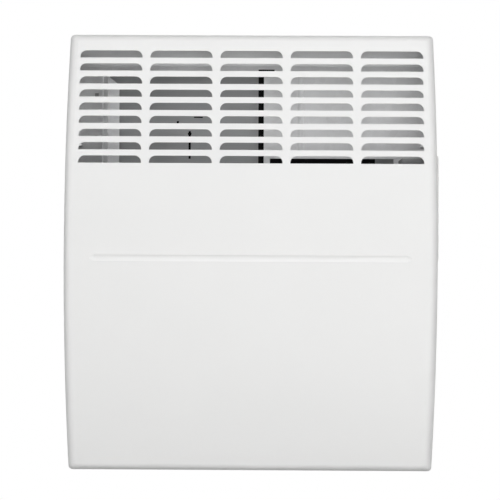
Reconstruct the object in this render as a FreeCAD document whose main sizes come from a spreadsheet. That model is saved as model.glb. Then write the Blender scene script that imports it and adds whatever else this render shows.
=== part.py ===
import FreeCAD, Part
import math
import os
import re

import Sketcher
from FreeCAD import Placement, Rotation, Vector

# Wall-hung panel convector heater, in millimetres. +Z is up, the front faces -Y and the wall is the
# plane Y = 0. The origin is the middle of the wall bracket's screw pattern.
#
# Names of sizes: a drop is measured down from the casing's top, a rise up from its bottom, and an
# inset in from its widest side.

SIZES = {
    # Casing: one pressed shell with a bowed front and barrel sides, open at the back
    "case_height": 440.0,
    "case_width": 374.0,
    "case_depth": 78.0,
    "front_bow": 22.0,
    "side_bow": 3.5,
    "wall_gap": 20.0,
    "sheet": 1.0,
    "edge_radius": 9.0,
    "corner_radius": 4.0,
    # Outlet grille
    "grille_inset": 10.5,
    "slot_bar": 7.8,
    "slot_height": 7.4,
    "slot_corner": 6.6,
    "slot_columns": 5,
    "row_pitch": 13.35,
    "slot_rows": 9,
    "grille_drop": 17.0,
    # Pressed groove across the front
    "groove_inset": 26.0,
    "groove_radius": 6.3,
    "groove_depth": 0.9,
    "groove_taper": 35.0,
    "groove_below_middle": 6.0,
    # Air inlet slots in the casing's bottom
    "inlet_inset": 32.0,
    "inlet_bar": 9.0,
    "inlet_length": 7.0,
    "inlet_columns": 10,
    "inlet_row_pitch": 12.0,
    "inlet_rows": 2,
    "inlet_from_back": 22.0,
    # Rear panel: a shallow tray inside the casing's back edge
    "panel_sheet": 1.0,
    "panel_corner": 5.3,
    "fit_gap": 0.3,
    "flange_depth": 11.0,
    "window_inset": 38.7,
    "window_right": 12.6,
    "window_drop": 33.0,
    "window_height": 124.2,
    "notch_width": 11.0,
    "notch_height": 4.3,
    "vent_left": 19.0,
    "vent_inset": 39.0,
    "vent_drop": 121.5,
    "vent_height": 73.0,
    "bead_offset": 51.0,
    "bead_radius": 6.0,
    "bead_height": 0.9,
    "bead_drop": 36.0,
    "bead_length": 80.0,
    "eyelet_inset": 25.1,
    "eyelet_drop": 54.0,
    "eyelet_width": 4.0,
    "eyelet_height": 3.4,
    # Wall bracket and its hooks
    "bracket_sheet": 1.5,
    "bracket_inset": 19.0,
    "bracket_drop": 12.0,
    "bracket_rise": 60.0,
    "bracket_band": 30.0,
    "bracket_head": 12.0,
    "bracket_side": 38.0,
    "plate_right": 6.8,
    "plate_height": 126.0,
    "post_width": 28.0,
    "post_lip": 6.0,
    "wall_screw_inset": 37.0,
    "wall_screw_drop": 75.0,
    "wall_hole_radius": 2.75,
    "level_slot_x": 65.6,
    "level_slot_drop": 91.5,
    "level_slot_length": 29.5,
    "level_slot_width": 2.4,
    "level_head_radius": 2.0,
    "slit_x": 56.5,
    "slit_drop": 77.0,
    "slit_length": 9.4,
    "slit_width": 1.4,
    "mark_x": 78.2,
    "mark_drop": 82.2,
    "mark_radius": 1.3,
    "hook_inset": 26.5,
    "hook_sheet": 2.0,
    "hook_drop": 150.0,
    "hook_rise": 70.0,
    "hook_neck": 6.0,
    "hook_tip": 8.0,
    "hook_tip_depth": 3.4,
    "hook_play": 0.6,
    "hook_slot_width": 5.0,
    "lift": 12.0,
    "lift_spare": 1.5,
    # Release catch on the bracket
    "catch_width": 22.0,
    "catch_rise": 70.0,
    "catch_from_wall": 12.0,
    "catch_barrel_radius": 4.0,
    "catch_arm": 2.0,
    "catch_tab_rise": 7.0,
    "nose_rise": 24.0,
    "nose_slope": 2.0,
    "nose_reach": 1.6,
    "nose_behind": 0.6,
    "nose_land": 1.0,
    "nose_slot_spare": 1.0,
    "ear_sheet": 1.5,
    "ear_gap": 1.5,
    "ear_height": 16.0,
    "pin_radius": 1.5,
    "pin_spare": 2.0,
    "running_gap": 0.05,
    "seat_gap": 0.1,
    # Air guides
    "deflector_radius": 21.7,
    "deflector_lip": 16.3,
    "deflector_inset": 9.0,
    "duct_inset": 35.9,
    "duct_depth": 49.0,
    "duct_flange": 13.0,
    "duct_drop": 37.2,
    "duct_rise": 56.0,
    "duct_chamfer": 8.5,
    "bracket_x_inset": 59.0,
    "element_bracket_height": 100.0,
    "element_bracket_flange": 15.0,
    "shield_rise": 60.0,
    "shield_drop": 145.0,
    "shield_lip": 8.0,
    # Heating element
    "element_rise": 100.0,
    "element_from_panel": 25.0,
    "rod_radius": 4.25,
    "rod_overhang": 14.0,
    "hub_radius": 8.0,
    "fin_length": 21.0,
    "fin_thickness": 2.4,
    "fin_count": 6,
    "diffuser_end_gap": 3.5,
    "bush_radius": 7.0,
    "bush_collar_radius": 9.5,
    "bush_collar": 4.0,
    "bush_length": 10.5,
    "blade_length": 8.0,
    "blade_width": 6.3,
    "blade_thickness": 0.8,
    "cutout_radius": 8.5,
    "cutout_length": 9.0,
    "cutout_rise": 136.0,
    "cutout_blade_gap": 8.0,
    # Control panel: a recessed moulding in the casing's right side
    "control_height": 44.0,
    "control_from_panel": 35.0,
    "recess_length": 100.0,
    "recess_width": 43.0,
    "recess_corner": 6.0,
    "recess_wall": 1.6,
    "recess_inset": 9.0,
    "floor_thickness": 2.0,
    "rim": 4.4,
    "rim_thickness": 1.4,
    "cutout_gap": 0.4,
    "housing_depth": 24.0,
    "housing_wall": 1.0,
    "thermostat_from_end": 28.0,
    "thermostat_depth": 19.0,
    "thermostat_width": 32.0,
    "thermostat_length": 34.0,
    "shaft_radius": 3.0,
    "shaft_socket": 10.0,
    "shaft_hole_radius": 4.0,
    "knob_radius": 15.0,
    "knob_top_radius": 14.2,
    "knob_height": 11.0,
    "knob_wall": 1.6,
    "knob_hub_radius": 5.5,
    "knob_round": 1.2,
    "knob_gap": 0.4,
    "knob_flutes": 24,
    "flute_radius": 1.1,
    "pointer_start": 135.0,
    "pointer_length": 8.0,
    "pointer_width": 1.4,
    "pointer_depth": 0.6,
    "control_screw_radius": 1.5,
    "control_screw_head": 2.7,
    "control_screw_length": 8.0,
    "control_screw_pitch": 20.0,
    "switch_from_end": 20.0,
    "bezel_length": 23.0,
    "bezel_width": 15.0,
    "bezel_thickness": 1.6,
    "switch_length": 20.4,
    "switch_width": 12.8,
    "switch_depth": 18.0,
    "well_length": 18.4,
    "well_width": 10.6,
    "well_depth": 8.6,
    "rocker_length": 16.4,
    "rocker_gap": 0.2,
    "rocker_ends": 5.0,
    "rocker_middle": 3.6,
    "rocker_shoulder": 2.2,
    "rocker_foot": 6.0,
    "rocker_tilt": 9.0,
    "rocker_pivot_depth": 2.0,
    "rocker_pin_radius": 1.0,
    "pilot_above_switch": 19.0,
    "pilot_radius": 3.5,
    "pilot_body_radius": 2.6,
    "pilot_body": 8.0,
    "pilot_rim": 1.0,
    "pilot_dome": 1.4,
    # Terminals, gland and wires inside the casing
    "terminal_inset": 15.0,
    "terminal_rise": 116.0,
    "terminal_length": 22.0,
    "terminal_depth": 16.0,
    "terminal_height": 20.0,
    "pole_pitch": 7.0,
    "terminal_screw_radius": 2.1,
    "terminal_screw_length": 6.0,
    "terminal_well": 8.0,
    "gland_inset": 37.0,
    "gland_rise": 32.0,
    "gland_bore_radius": 4.0,
    "gland_body_radius": 8.0,
    "gland_flange_radius": 11.0,
    "gland_flange": 3.0,
    "gland_length": 12.0,
    "gland_nut": 5.0,
    "earth_rise": 90.0,
    "earth_stud_radius": 2.0,
    "earth_stud_length": 12.0,
    "earth_nut_radius": 4.0,
    "earth_nut": 6.0,
    "wire_radius": 1.3,
    "wire_from_panel": 8.0,
    "wire_clip_width": 8.0,
    "wire_clip_height": 7.0,
    "wire_clip_cover": 2.0,
    "wire_clip_pitch": 90.0,
    "wire_clip_count": 3,
    "harness_rise": 46.0,
    # Fasteners
    "screw_radius": 1.75,
    "screw_head_radius": 3.5,
    "screw_head": 2.2,
    "screw_length": 11.0,
    "screw_from_back": 6.0,
    "bottom_screw_inset": 67.0,
    "side_screw_drop": 109.0,
    "rivet_radius": 1.6,
    "rivet_head_radius": 3.0,
    "rivet_head": 1.2,
    "rivet_inset": 7.5,
    "duct_rivet_drop": 170.0,
    "duct_rivet_rise": 80.0,
    # Free length that a cutting shape runs past the material
    "spare": 5.0,
}

doc = FreeCAD.newDocument("convector_heater")
sheet = doc.addObject("Spreadsheet::Sheet", "sizes")
for row, (alias, size) in enumerate(SIZES.items(), 1):
    sheet.set(f"A{row}", alias)
    sheet.set(f"B{row}", str(size))
    sheet.setAlias(f"B{row}", alias)
doc.recompute()

ALIAS = re.compile(r"\b(" + "|".join(SIZES) + r")\b")
AXES = {"x": Vector(1, 0, 0), "y": Vector(0, 1, 0), "z": Vector(0, 0, 1)}
TURN_Z_TO = {
    "x": Rotation(AXES["y"], 90),
    "y": Rotation(AXES["x"], -90),
    "z": Rotation(),
}
PIECES = []

# Places that many pieces share, as formulas of the sizes
TOP = "(case_height / 2)"
BOTTOM = "(-case_height / 2)"
SIDE = "(case_width / 2)"
BACK = "(-wall_gap)"
PANEL = "(-wall_gap - panel_sheet)"
FRONT = "(-wall_gap - case_depth)"
SIDE_RADIUS = "((case_height^2 / 4 + side_bow^2) / (2 * side_bow))"
FRONT_RADIUS = "((case_height^2 / 4 + front_bow^2) / (2 * front_bow))"
CONTROL_Y = f"({PANEL} - control_from_panel)"
FLOOR = f"({SIDE} - recess_inset)"
FLOOR_BACK = f"({FLOOR} - floor_thickness)"
HOUSING_LEFT = f"({FLOOR_BACK} - housing_depth)"
THERMOSTAT_Z = "(control_height + recess_length / 2 - thermostat_from_end)"
SWITCH_Z = "(control_height - recess_length / 2 + switch_from_end)"
PILOT_Z = f"({SWITCH_Z} + pilot_above_switch)"
ELEMENT_Y = f"({PANEL} - element_from_panel)"
ELEMENT_Z = f"({BOTTOM} + element_rise)"
DUCT_X = f"(-{SIDE} + duct_inset)"
DUCT_FRONT = f"({PANEL} - duct_depth)"
DUCT_FOOT = f"({BOTTOM} + duct_rise)"
ELEMENT_BRACKET_X = f"({SIDE} - bracket_x_inset)"
UPPER_HOOK_Z = f"({TOP} - hook_drop)"
LOWER_HOOK_Z = f"({BOTTOM} + hook_rise)"
HOOK_X = f"({SIDE} - hook_inset)"
CATCH_Z = f"({BOTTOM} + catch_rise)"
CATCH_Y = "(-catch_from_wall)"
NOSE_Z = f"({BOTTOM} + nose_rise)"
NOSE_BACK = f"({BACK} + nose_behind)"
NOSE_FRONT = f"({PANEL} - nose_reach)"
NOSE_EDGE_Z = f"({NOSE_Z} + nose_slope * ({NOSE_BACK} - {NOSE_FRONT}))"
PANEL_INSET = "(sheet + fit_gap)"
PANEL_INNER = "(sheet + fit_gap + panel_sheet)"
TERMINAL_RIGHT = f"({SIDE} - terminal_inset)"
TERMINAL_X = f"({TERMINAL_RIGHT} - terminal_length / 2)"
TERMINAL_Z = f"({BOTTOM} + terminal_rise)"
TERMINAL_TOP = f"({TERMINAL_Z} + terminal_height)"
GLAND_X = f"({SIDE} - gland_inset)"
GLAND_Z = f"({BOTTOM} + gland_rise)"
EARTH_X = f"({TERMINAL_X} + pole_pitch)"
EARTH_Z = f"({BOTTOM} + earth_rise)"
CUTOUT_Z = f"({BOTTOM} + cutout_rise)"
CUTOUT_END = f"({ELEMENT_BRACKET_X} + sheet + cutout_length)"
ROD_LEFT = f"({DUCT_X} - rod_overhang)"
ROD_RIGHT = f"({ELEMENT_BRACKET_X} + sheet + rod_overhang)"
HARNESS_Z = f"({BOTTOM} + harness_rise)"
WIRE_Y = f"({PANEL} - wire_from_panel)"
SCREW_Y = f"({BACK} - screw_from_back)"
LEVEL_Z = f"({TOP} - level_slot_drop)"
SIDE_SCREW_Z = f"({TOP} - side_screw_drop)"
BOTTOM_SCREW_X = f"({SIDE} - bottom_screw_inset)"


def tied(formula):
    """The formula with each size read from its cell."""
    return ALIAS.sub(r"sizes.\1", formula)


def value(formula):
    """The number that a formula comes to."""
    return float(sheet.evalExpression(tied(formula)))


def bind(thing, prop, formula):
    """Tie a property to a formula of the sizes."""
    thing.setExpression(prop, tied(formula))


def place(thing, x, y, z):
    """Tie an object's position to three formulas."""
    for axis, formula in zip("xyz", (x, y, z)):
        bind(thing, f"Placement.Base.{axis}", formula)
    return thing


def finished(thing):
    """Count an object as one of the heater's own pieces."""
    PIECES.append(thing)
    return thing


def side_at(height, inset="0"):
    """Half the casing's width at a height, drawn in by an inset."""
    radius = f"({SIDE_RADIUS} - {inset})"
    return f"({SIDE} - {SIDE_RADIUS} + sqrt({radius}^2 - ({height})^2))"


def block(name, x, y, z):
    """A rectangular block between two formulas on each axis."""
    box = doc.addObject("Part::Box", name)
    for prop, axis, (low, high) in zip(("Length", "Width", "Height"), "xyz", (x, y, z)):
        bind(box, prop, f"({high}) - ({low})")
        bind(box, f"Placement.Base.{axis}", low)
    return box


def bar(name, axis, radius, start, end, across):
    """A round bar along one axis, between two formulas, centred on the other two axes' formulas."""
    cylinder = doc.addObject("Part::Cylinder", name)
    cylinder.Placement = Placement(Vector(), TURN_Z_TO[axis])
    bind(cylinder, "Radius", radius)
    bind(cylinder, "Height", f"({end}) - ({start})")
    where = dict(across, **{axis: start})
    return place(cylinder, where["x"], where["y"], where["z"])


def fused(name, *things):
    """Several overlapping or touching shapes as one solid."""
    result = doc.addObject("Part::MultiFuse", name)
    result.Shapes = list(things)
    result.Refine = True
    return result


def cut(name, base, *tools):
    """A shape with one or more others taken out of it."""
    result = doc.addObject("Part::Cut", name)
    result.Base = base
    result.Tool = tools[0] if len(tools) == 1 else fused(f"{name}_tools", *tools)
    return result


def group(name, *things):
    """Like pieces kept as separate solids of one node."""
    result = doc.addObject("Part::Compound", name)
    result.Links = list(things)
    return finished(result)


def new_body(name):
    return doc.addObject("PartDesign::Body", name)


def new_sketch(body, name, plane, shift):
    """An empty sketch on one of the body's own planes, shifted by three formulas along its axes."""
    sketch = body.newObject("Sketcher::SketchObject", f"{body.Name}_{name}")
    support = [feature for feature in body.Origin.OriginFeatures if feature.Role == f"{plane}_Plane"]
    sketch.AttachmentSupport = [(support[0], "")]
    sketch.MapMode = "FlatFace"
    for axis, formula in zip("xyz", shift):
        bind(sketch, f"AttachmentOffset.Base.{axis}", formula)
    return sketch


def measure(sketch, kind, formula, *where):
    """A dimension of the sketch, tied to a formula."""
    number = sketch.addConstraint(Sketcher.Constraint(kind, *where, value(formula)))
    bind(sketch, f"Constraints[{number}]", formula)


def arc_between(start, end, radius, hollow):
    """The arc from start to end and the numbers of its first and last point. It turns clockwise
    unless it is hollow."""
    chord = end - start
    middle = (start + end) * 0.5
    right = Vector(chord.y, -chord.x, 0).normalize()
    inwards = -1 if hollow else 1
    centre = middle + right * inwards * math.sqrt(radius**2 - chord.Length**2 / 4)
    first, last = (start, end) if hollow else (end, start)
    angles = [math.atan2(point.y - centre.y, point.x - centre.x) for point in (first, last)]
    if angles[1] < angles[0]:
        angles[1] += 2 * math.pi
    circle = Part.Circle(centre, Vector(0, 0, 1), radius)
    ends = (1, 2) if hollow else (2, 1)
    return Part.ArcOfCircle(circle, *angles), ends


def draw(body, name, plane, loops, shift=("0", "0", "0")):
    """A sketch of closed loops. A loop is a list of corners, taken clockwise round a solid. A third
    formula in a corner is the radius of the arc to the next one, and a fourth entry makes it hollow."""
    sketch = new_sketch(body, name, plane, shift)
    for corners in loops:
        points = [Vector(value(corner[0]), value(corner[1]), 0) for corner in corners]
        edges = []
        for corner, start, end in zip(corners, points, points[1:] + points[:1]):
            if len(corner) > 2:
                shape, ends = arc_between(start, end, value(corner[2]), len(corner) > 3)
            else:
                shape, ends = Part.LineSegment(start, end), (1, 2)
            edges.append((sketch.addGeometry(shape), *ends))
        for (edge, first, last), (following, start, end) in zip(edges, edges[1:] + edges[:1]):
            sketch.addConstraint(Sketcher.Constraint("Coincident", edge, last, following, start))
        for corner, (edge, first, last) in zip(corners, edges):
            measure(sketch, "DistanceX", corner[0], -1, 1, edge, first)
            measure(sketch, "DistanceY", corner[1], -1, 1, edge, first)
            if len(corner) > 2:
                measure(sketch, "Radius", corner[2], edge)
    return sketch


def draw_circles(body, name, plane, centres, radius, shift=("0", "0", "0")):
    """A sketch of equal circles."""
    sketch = new_sketch(body, name, plane, shift)
    for x, y in centres:
        centre = Vector(value(x), value(y), 0)
        circle = sketch.addGeometry(Part.Circle(centre, Vector(0, 0, 1), value(radius)))
        measure(sketch, "DistanceX", x, -1, 1, circle, 3)
        measure(sketch, "DistanceY", y, -1, 1, circle, 3)
        measure(sketch, "Radius", radius, circle)
    return sketch


def rectangle(left, right, low, high):
    """The corners of a rectangle, clockwise from its lower left."""
    return [(left, low), (left, high), (right, high), (right, low)]


def rounded(left, right, low, high, radius):
    """The corners of a rectangle with round corners, clockwise."""
    radius = f"({radius})"
    return [
        (left, f"({low}) + {radius}"),
        (left, f"({high}) - {radius}", radius),
        (f"({left}) + {radius}", high),
        (f"({right}) - {radius}", high, radius),
        (right, f"({high}) - {radius}"),
        (right, f"({low}) + {radius}", radius),
        (f"({right}) - {radius}", low),
        (f"({left}) + {radius}", low, radius),
    ]


def pad(body, profile, length, side="One side", reverse=False):
    """Material along a sketch's normal."""
    feature = body.newObject("PartDesign::Pad", f"{profile.Name}_pad")
    feature.Profile = profile
    feature.SideType = side
    feature.Reversed = reverse
    bind(feature, "Length", length)
    doc.recompute()
    return feature


def pocket(body, profile, length=None, side="One side", reverse=False):
    """A cut against a sketch's normal, right through if it has no length."""
    before = body.Shape.Volume
    feature = body.newObject("PartDesign::Pocket", f"{profile.Name}_pocket")
    feature.Profile = profile
    feature.SideType = side
    feature.Reversed = reverse
    if length is None:
        feature.Type = "ThroughAll"
    else:
        bind(feature, "Length", length)
    doc.recompute()
    if not body.Shape.Volume < before:
        raise RuntimeError(f"{feature.Name} cuts nothing")
    return feature


def revolve(body, kind, profile, axis):
    """A full turn of a sketch about one of its own axes, added or cut away."""
    feature = body.newObject(f"PartDesign::{kind}", f"{profile.Name}_turn")
    feature.Profile = profile
    feature.ReferenceAxis = (profile, [axis])
    feature.Angle = 360
    doc.recompute()
    return feature


def fillet(body, base, edges, radius):
    """A round along the base's own edges that are the same as those given."""
    names = [
        f"Edge{number}"
        for number, edge in enumerate(base.Shape.Edges, 1)
        if any(edge.isSame(wanted) for wanted in edges)
    ]
    feature = body.newObject("PartDesign::Fillet", f"{base.Name}_round")
    feature.Base = (base, names)
    bind(feature, "Radius", radius)
    doc.recompute()
    return feature


def repeat(body, feature, sketch, pitch, count):
    """Copies of a feature along its sketch's horizontal axis."""
    pattern = body.newObject("PartDesign::LinearPattern", f"{feature.Name}_row")
    pattern.Originals = [feature]
    pattern.Direction = (sketch, ["H_Axis"])
    pattern.Mode = "Spacing"
    bind(pattern, "Offset", pitch)
    bind(pattern, "Occurrences", count)
    body.Tip = pattern
    doc.recompute()
    return pattern


def repeat_round(body, feature, sketch, count):
    """Copies of a feature, evenly spaced about its sketch's normal."""
    pattern = body.newObject("PartDesign::PolarPattern", f"{feature.Name}_ring")
    pattern.Originals = [feature]
    pattern.Axis = (sketch, ["N_Axis"])
    pattern.Angle = 360
    bind(pattern, "Occurrences", count)
    body.Tip = pattern
    doc.recompute()
    return pattern


def take_out(body, tool):
    """Cut one body out of another."""
    feature = body.newObject("PartDesign::Boolean", f"{body.Name}_hollow")
    feature.setObjects([tool])
    feature.Type = "Cut"
    doc.recompute()
    return feature


def barrel(inset):
    """The casing's outline, drawn in by an inset: flat top and bottom, bowed sides."""
    high = f"(case_height / 2 - {inset})"
    wide = side_at(high, inset)
    radius = f"({SIDE_RADIUS} - {inset})"
    return [
        (f"-{wide}", high),
        (wide, high, radius),
        (wide, f"-{high}"),
        (f"-{wide}", f"-{high}", radius),
    ]


def barrel_block(name, inset, back, length):
    """A block of the barrel outline, from a depth forwards."""
    body = new_body(name)
    outline = draw(body, "outline", "XZ", [barrel(inset)], ("0", "0", f"-{back}"))
    return body, pad(body, outline, length)


def edges_along_depth(shape):
    """A shape's straight edges that run from front to back."""
    lines = [edge for edge in shape.Edges if isinstance(edge.Curve, Part.Line)]
    return [edge for edge in lines if abs(edge.Curve.Direction.y) > 0.5]


def tray_block(name, inset, back, length, corner):
    """A block of the barrel outline with round corners."""
    body, blank = barrel_block(name, inset, back, length)
    fillet(body, blank, edges_along_depth(blank.Shape), corner)
    return body


def blended_rounds(name, base, rounds):
    """A base with rounds of several radii, which blend where they meet."""
    feature = doc.addObject("Part::Fillet", name)
    feature.Base = base
    chosen = []
    for number, edge in enumerate(base.Shape.Edges, 1):
        for wanted, radius in rounds:
            if any(edge.isSame(other) for other in wanted):
                chosen.append((number, value(radius), value(radius)))
    feature.Edges = chosen
    doc.recompute()
    return feature


def bowed_form(name, inset, back):
    """The casing's whole form, drawn in by an inset: barrel outline, bowed front, round front edge and
    corners, and the pressed groove."""
    blank, _ = barrel_block(f"{name}_blank", inset, back, f"{back} - {FRONT} + spare")
    radius = f"({FRONT_RADIUS} - {inset})"
    reach = f"({TOP} + spare)"
    arc_end = f"({FRONT} + {FRONT_RADIUS} - sqrt({radius}^2 - {reach}^2))"
    beyond = f"({FRONT} - 2 * spare)"
    in_front = [(arc_end, reach, radius, "hollow"), (arc_end, f"-{reach}")]
    in_front += [(beyond, f"-{reach}"), (beyond, reach)]
    pocket(blank, draw(blank, "bow", "YZ", [in_front]), side="Symmetric")
    faces = [face for face in blank.Shape.Faces if isinstance(face.Surface, Part.Cylinder)]
    front = max(faces, key=lambda face: face.Area)
    edge_round = (front.Edges, f"edge_radius - {inset}")
    corner_round = (edges_along_depth(blank.Shape), f"corner_radius - {inset}")
    body = new_body(name)
    body.BaseFeature = blended_rounds(f"{name}_rounds", blank, [edge_round, corner_round])
    press_groove(body, inset)
    return body


def press_groove(body, inset):
    """The shallow groove across the front, turned about an axis in front of the sheet."""
    radius = f"(groove_radius + {inset})"
    flat_end = f"({SIDE} - groove_inset - groove_taper * groove_depth / groove_radius + {inset})"
    point = f"({flat_end} + groove_taper)"
    half = [(f"-{point}", "0"), (f"-{flat_end}", radius), (flat_end, radius), (point, "0")]
    axis_depth = f"(-({FRONT} - groove_radius + groove_depth))"
    profile = draw(body, "groove", "XZ", [half], ("0", "-groove_below_middle", axis_depth))
    revolve(body, "Groove", profile, "H_Axis")


def front_casing():
    """Pressed steel shell: front, sides, top and bottom in one piece."""
    body = bowed_form("front_casing", "0", BACK)
    take_out(body, bowed_form("casing_cavity", "sheet", f"({BACK} + spare)"))

    slot_pitch = "((case_width - 2 * grille_inset) / slot_columns)"
    left = f"(-{SIDE} + grille_inset + slot_bar / 2)"
    right = f"({left} + {slot_pitch} - slot_bar)"
    outlet_slots = []
    for row_number in range(int(value("slot_rows"))):
        high = f"({TOP} - grille_drop - {row_number} * row_pitch)"
        low = f"({high} - slot_height)"
        shoulder = f"({high} - slot_corner)"
        outlet_slots.append([
            (left, low),
            (left, shoulder, "slot_corner"),
            (f"{left} + slot_corner", high),
            (f"{right} - slot_corner", high, "slot_corner"),
            (right, shoulder),
            (right, low),
        ])
    outlet = draw(body, "outlet", "XZ", outlet_slots, ("0", "0", "wall_gap"))
    first = pocket(body, outlet, reverse=True)
    repeat(body, first, outlet, slot_pitch, "slot_columns")

    inlet_pitch = "((case_width - 2 * inlet_inset) / inlet_columns)"
    start = f"(-{SIDE} + inlet_inset + inlet_bar / 2)"
    inlet_slots = []
    for row_number in range(int(value("inlet_rows"))):
        near = f"({BACK} - inlet_from_back - {row_number} * inlet_row_pitch)"
        sides = (start, f"{start} + {inlet_pitch} - inlet_bar")
        inlet_slots.append(rounded(*sides, f"{near} - inlet_length", near, "inlet_length / 3"))
    inlet = draw(body, "inlet", "XY", inlet_slots, ("0", "0", f"{BOTTOM} + sheet + spare"))
    first = pocket(body, inlet)
    repeat(body, first, inlet, inlet_pitch, "inlet_columns")

    half_width = "(recess_width / 2 + recess_wall + cutout_gap)"
    half_length = "(recess_length / 2 + recess_wall + cutout_gap)"
    opening = rounded(
        f"{CONTROL_Y} - {half_width}",
        f"{CONTROL_Y} + {half_width}",
        f"control_height - {half_length}",
        f"control_height + {half_length}",
        "recess_corner",
    )
    pocket(body, draw(body, "control_opening", "YZ", [opening]), reverse=True)
    screw_holes(body, "screw_radius + seat_gap")
    finished(body)


def screw_holes(body, radius):
    """Holes for the casing's screws, through the sides and the bottom."""
    sides = [(SCREW_Y, SIDE_SCREW_Z), (SCREW_Y, f"-{SIDE_SCREW_Z}")]
    pocket(body, draw_circles(body, "side_holes", "YZ", sides, radius), side="Symmetric")
    bottoms = [(BOTTOM_SCREW_X, SCREW_Y), (f"-{BOTTOM_SCREW_X}", SCREW_Y)]
    pocket(body, draw_circles(body, "bottom_holes", "XY", bottoms, radius))


def rear_panel():
    """Sheet steel tray that closes the casing's back, with its windows, hook slots and holes."""
    body = tray_block("rear_panel", PANEL_INSET, BACK, "flange_depth", "panel_corner")
    tray_depth = "(flange_depth - panel_sheet + spare)"
    inner_corner = "(panel_corner - panel_sheet)"
    take_out(body, tray_block("panel_inside", PANEL_INNER, PANEL, tray_depth, inner_corner))

    window_top = f"({TOP} - window_drop)"
    notch_top = f"({window_top} + notch_height)"
    notch_right = "(window_right + notch_width)"
    window_left = f"(-{SIDE} + window_inset)"
    window = [
        (window_left, f"{window_top} - window_height"),
        (window_left, window_top),
        ("plate_right", window_top),
        ("plate_right", notch_top),
        (notch_right, notch_top),
        (notch_right, window_top),
        ("window_right", window_top),
        ("window_right", f"{window_top} - window_height"),
    ]
    vent_top = f"({TOP} - vent_drop)"
    vent = rectangle("vent_left", f"{SIDE} - vent_inset", f"{vent_top} - vent_height", vent_top)
    nose_slot = rectangle(
        "-catch_width / 2 - nose_slot_spare",
        "catch_width / 2 + nose_slot_spare",
        f"{NOSE_Z} + nose_slot_spare",
        f"{NOSE_EDGE_Z} + nose_land + 2 * nose_slot_spare",
    )
    eyelet_top = f"({TOP} - eyelet_drop)"
    eyelet_x = f"(-{SIDE} + eyelet_inset)"
    eyelet_sides = (f"{eyelet_x} - eyelet_width / 2", f"{eyelet_x} + eyelet_width / 2")
    eyelet = rectangle(*eyelet_sides, f"{eyelet_top} - eyelet_height", eyelet_top)
    hook_slots = [
        rectangle(
            f"{side} * {HOOK_X} - hook_slot_width / 2",
            f"{side} * {HOOK_X} + hook_slot_width / 2",
            f"{seat} - hook_neck - lift - lift_spare",
            seat,
        )
        for side in (-1, 1)
        for seat in (UPPER_HOOK_Z, LOWER_HOOK_Z)
    ]
    openings = [window, vent, nose_slot, eyelet] + hook_slots
    pocket(body, draw(body, "openings", "XZ", openings), side="Symmetric")
    gland_hole = [(GLAND_X, GLAND_Z)]
    gland_radius = "gland_body_radius + seat_gap"
    pocket(body, draw_circles(body, "gland_hole", "XZ", gland_hole, gland_radius), side="Symmetric")
    rivet_holes = draw_circles(body, "rivet_holes", "XZ", RIVETS, "rivet_radius + running_gap")
    pocket(body, rivet_holes, side="Symmetric")
    screw_holes(body, "screw_radius + running_gap")

    bead_top = f"({TOP} - bead_drop)"
    half = "sqrt(bead_radius^2 - (bead_radius - bead_height)^2)"
    section = [
        (f"bead_offset - {half}", PANEL),
        (f"bead_offset + {half}", PANEL, "bead_radius"),
    ]
    bead = draw(body, "bead", "XY", [section], ("0", "0", f"{bead_top} - bead_length"))
    pad(body, bead, "bead_length")
    finished(body)


RIVETS = [
    (f"{DUCT_X} + duct_flange - rivet_inset", f"{TOP} - duct_rivet_drop"),
    (f"{DUCT_X} + duct_flange - rivet_inset", f"{BOTTOM} + duct_rivet_rise"),
    (f"{ELEMENT_BRACKET_X} - rivet_inset", f"{DUCT_FOOT} + element_bracket_height - rivet_inset"),
    (f"{ELEMENT_BRACKET_X} - rivet_inset", f"{DUCT_FOOT} + rivet_inset"),
]


def duct_rivets():
    """Blind rivets that hold the left duct wall and the element bracket to the rear panel."""
    rivets = []
    for number, (x, z) in enumerate(RIVETS):
        across = {"x": x, "z": z}
        seat = f"({PANEL} - sheet)"
        head = bar(f"rivet_head_{number}", "y", "rivet_head_radius", f"{seat} - rivet_head", seat, across)
        tail_end = f"{BACK} + rivet_head"
        shank = bar(f"rivet_shank_{number}", "y", "rivet_radius", f"{seat} - rivet_head", tail_end, across)
        tail = bar(f"rivet_tail_{number}", "y", "rivet_radius * 1.5", BACK, tail_end, across)
        rivets.append(fused(f"rivet_{number}", head, shank, tail))
    group("duct_rivets", *rivets)


def casing_screws():
    """Pan-head screws through the casing into the rear panel's flanges."""
    screws = []
    seat = side_at(f"{SIDE_SCREW_Z} - screw_head_radius")
    for side in (-1, 1):
        for height in (SIDE_SCREW_Z, f"-{SIDE_SCREW_Z}"):
            name = f"side_screw_{len(screws)}"
            across = {"y": SCREW_Y, "z": height}
            head_span = sorted_span(side, seat, f"{seat} + screw_head")
            shank_span = sorted_span(side, f"{seat} - screw_length", f"{seat} + screw_head")
            head = bar(f"{name}_head", "x", "screw_head_radius", *head_span, across)
            shank = bar(f"{name}_shank", "x", "screw_radius", *shank_span, across)
            screws.append(fused(name, head, shank))
    for place_x in (BOTTOM_SCREW_X, f"-{BOTTOM_SCREW_X}"):
        name = f"bottom_screw_{len(screws)}"
        across = {"x": place_x, "y": SCREW_Y}
        foot = f"{BOTTOM} - screw_head"
        head = bar(f"{name}_head", "z", "screw_head_radius", foot, BOTTOM, across)
        shank = bar(f"{name}_shank", "z", "screw_radius", foot, f"{BOTTOM} + screw_length", across)
        screws.append(fused(name, head, shank))
    group("casing_screws", *screws)


def sorted_span(side, inner, outer):
    """Start and end of a bar that points outwards on the left (-1) or right (1)."""
    return (inner, outer) if side > 0 else (f"-({outer})", f"-({inner})")


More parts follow.
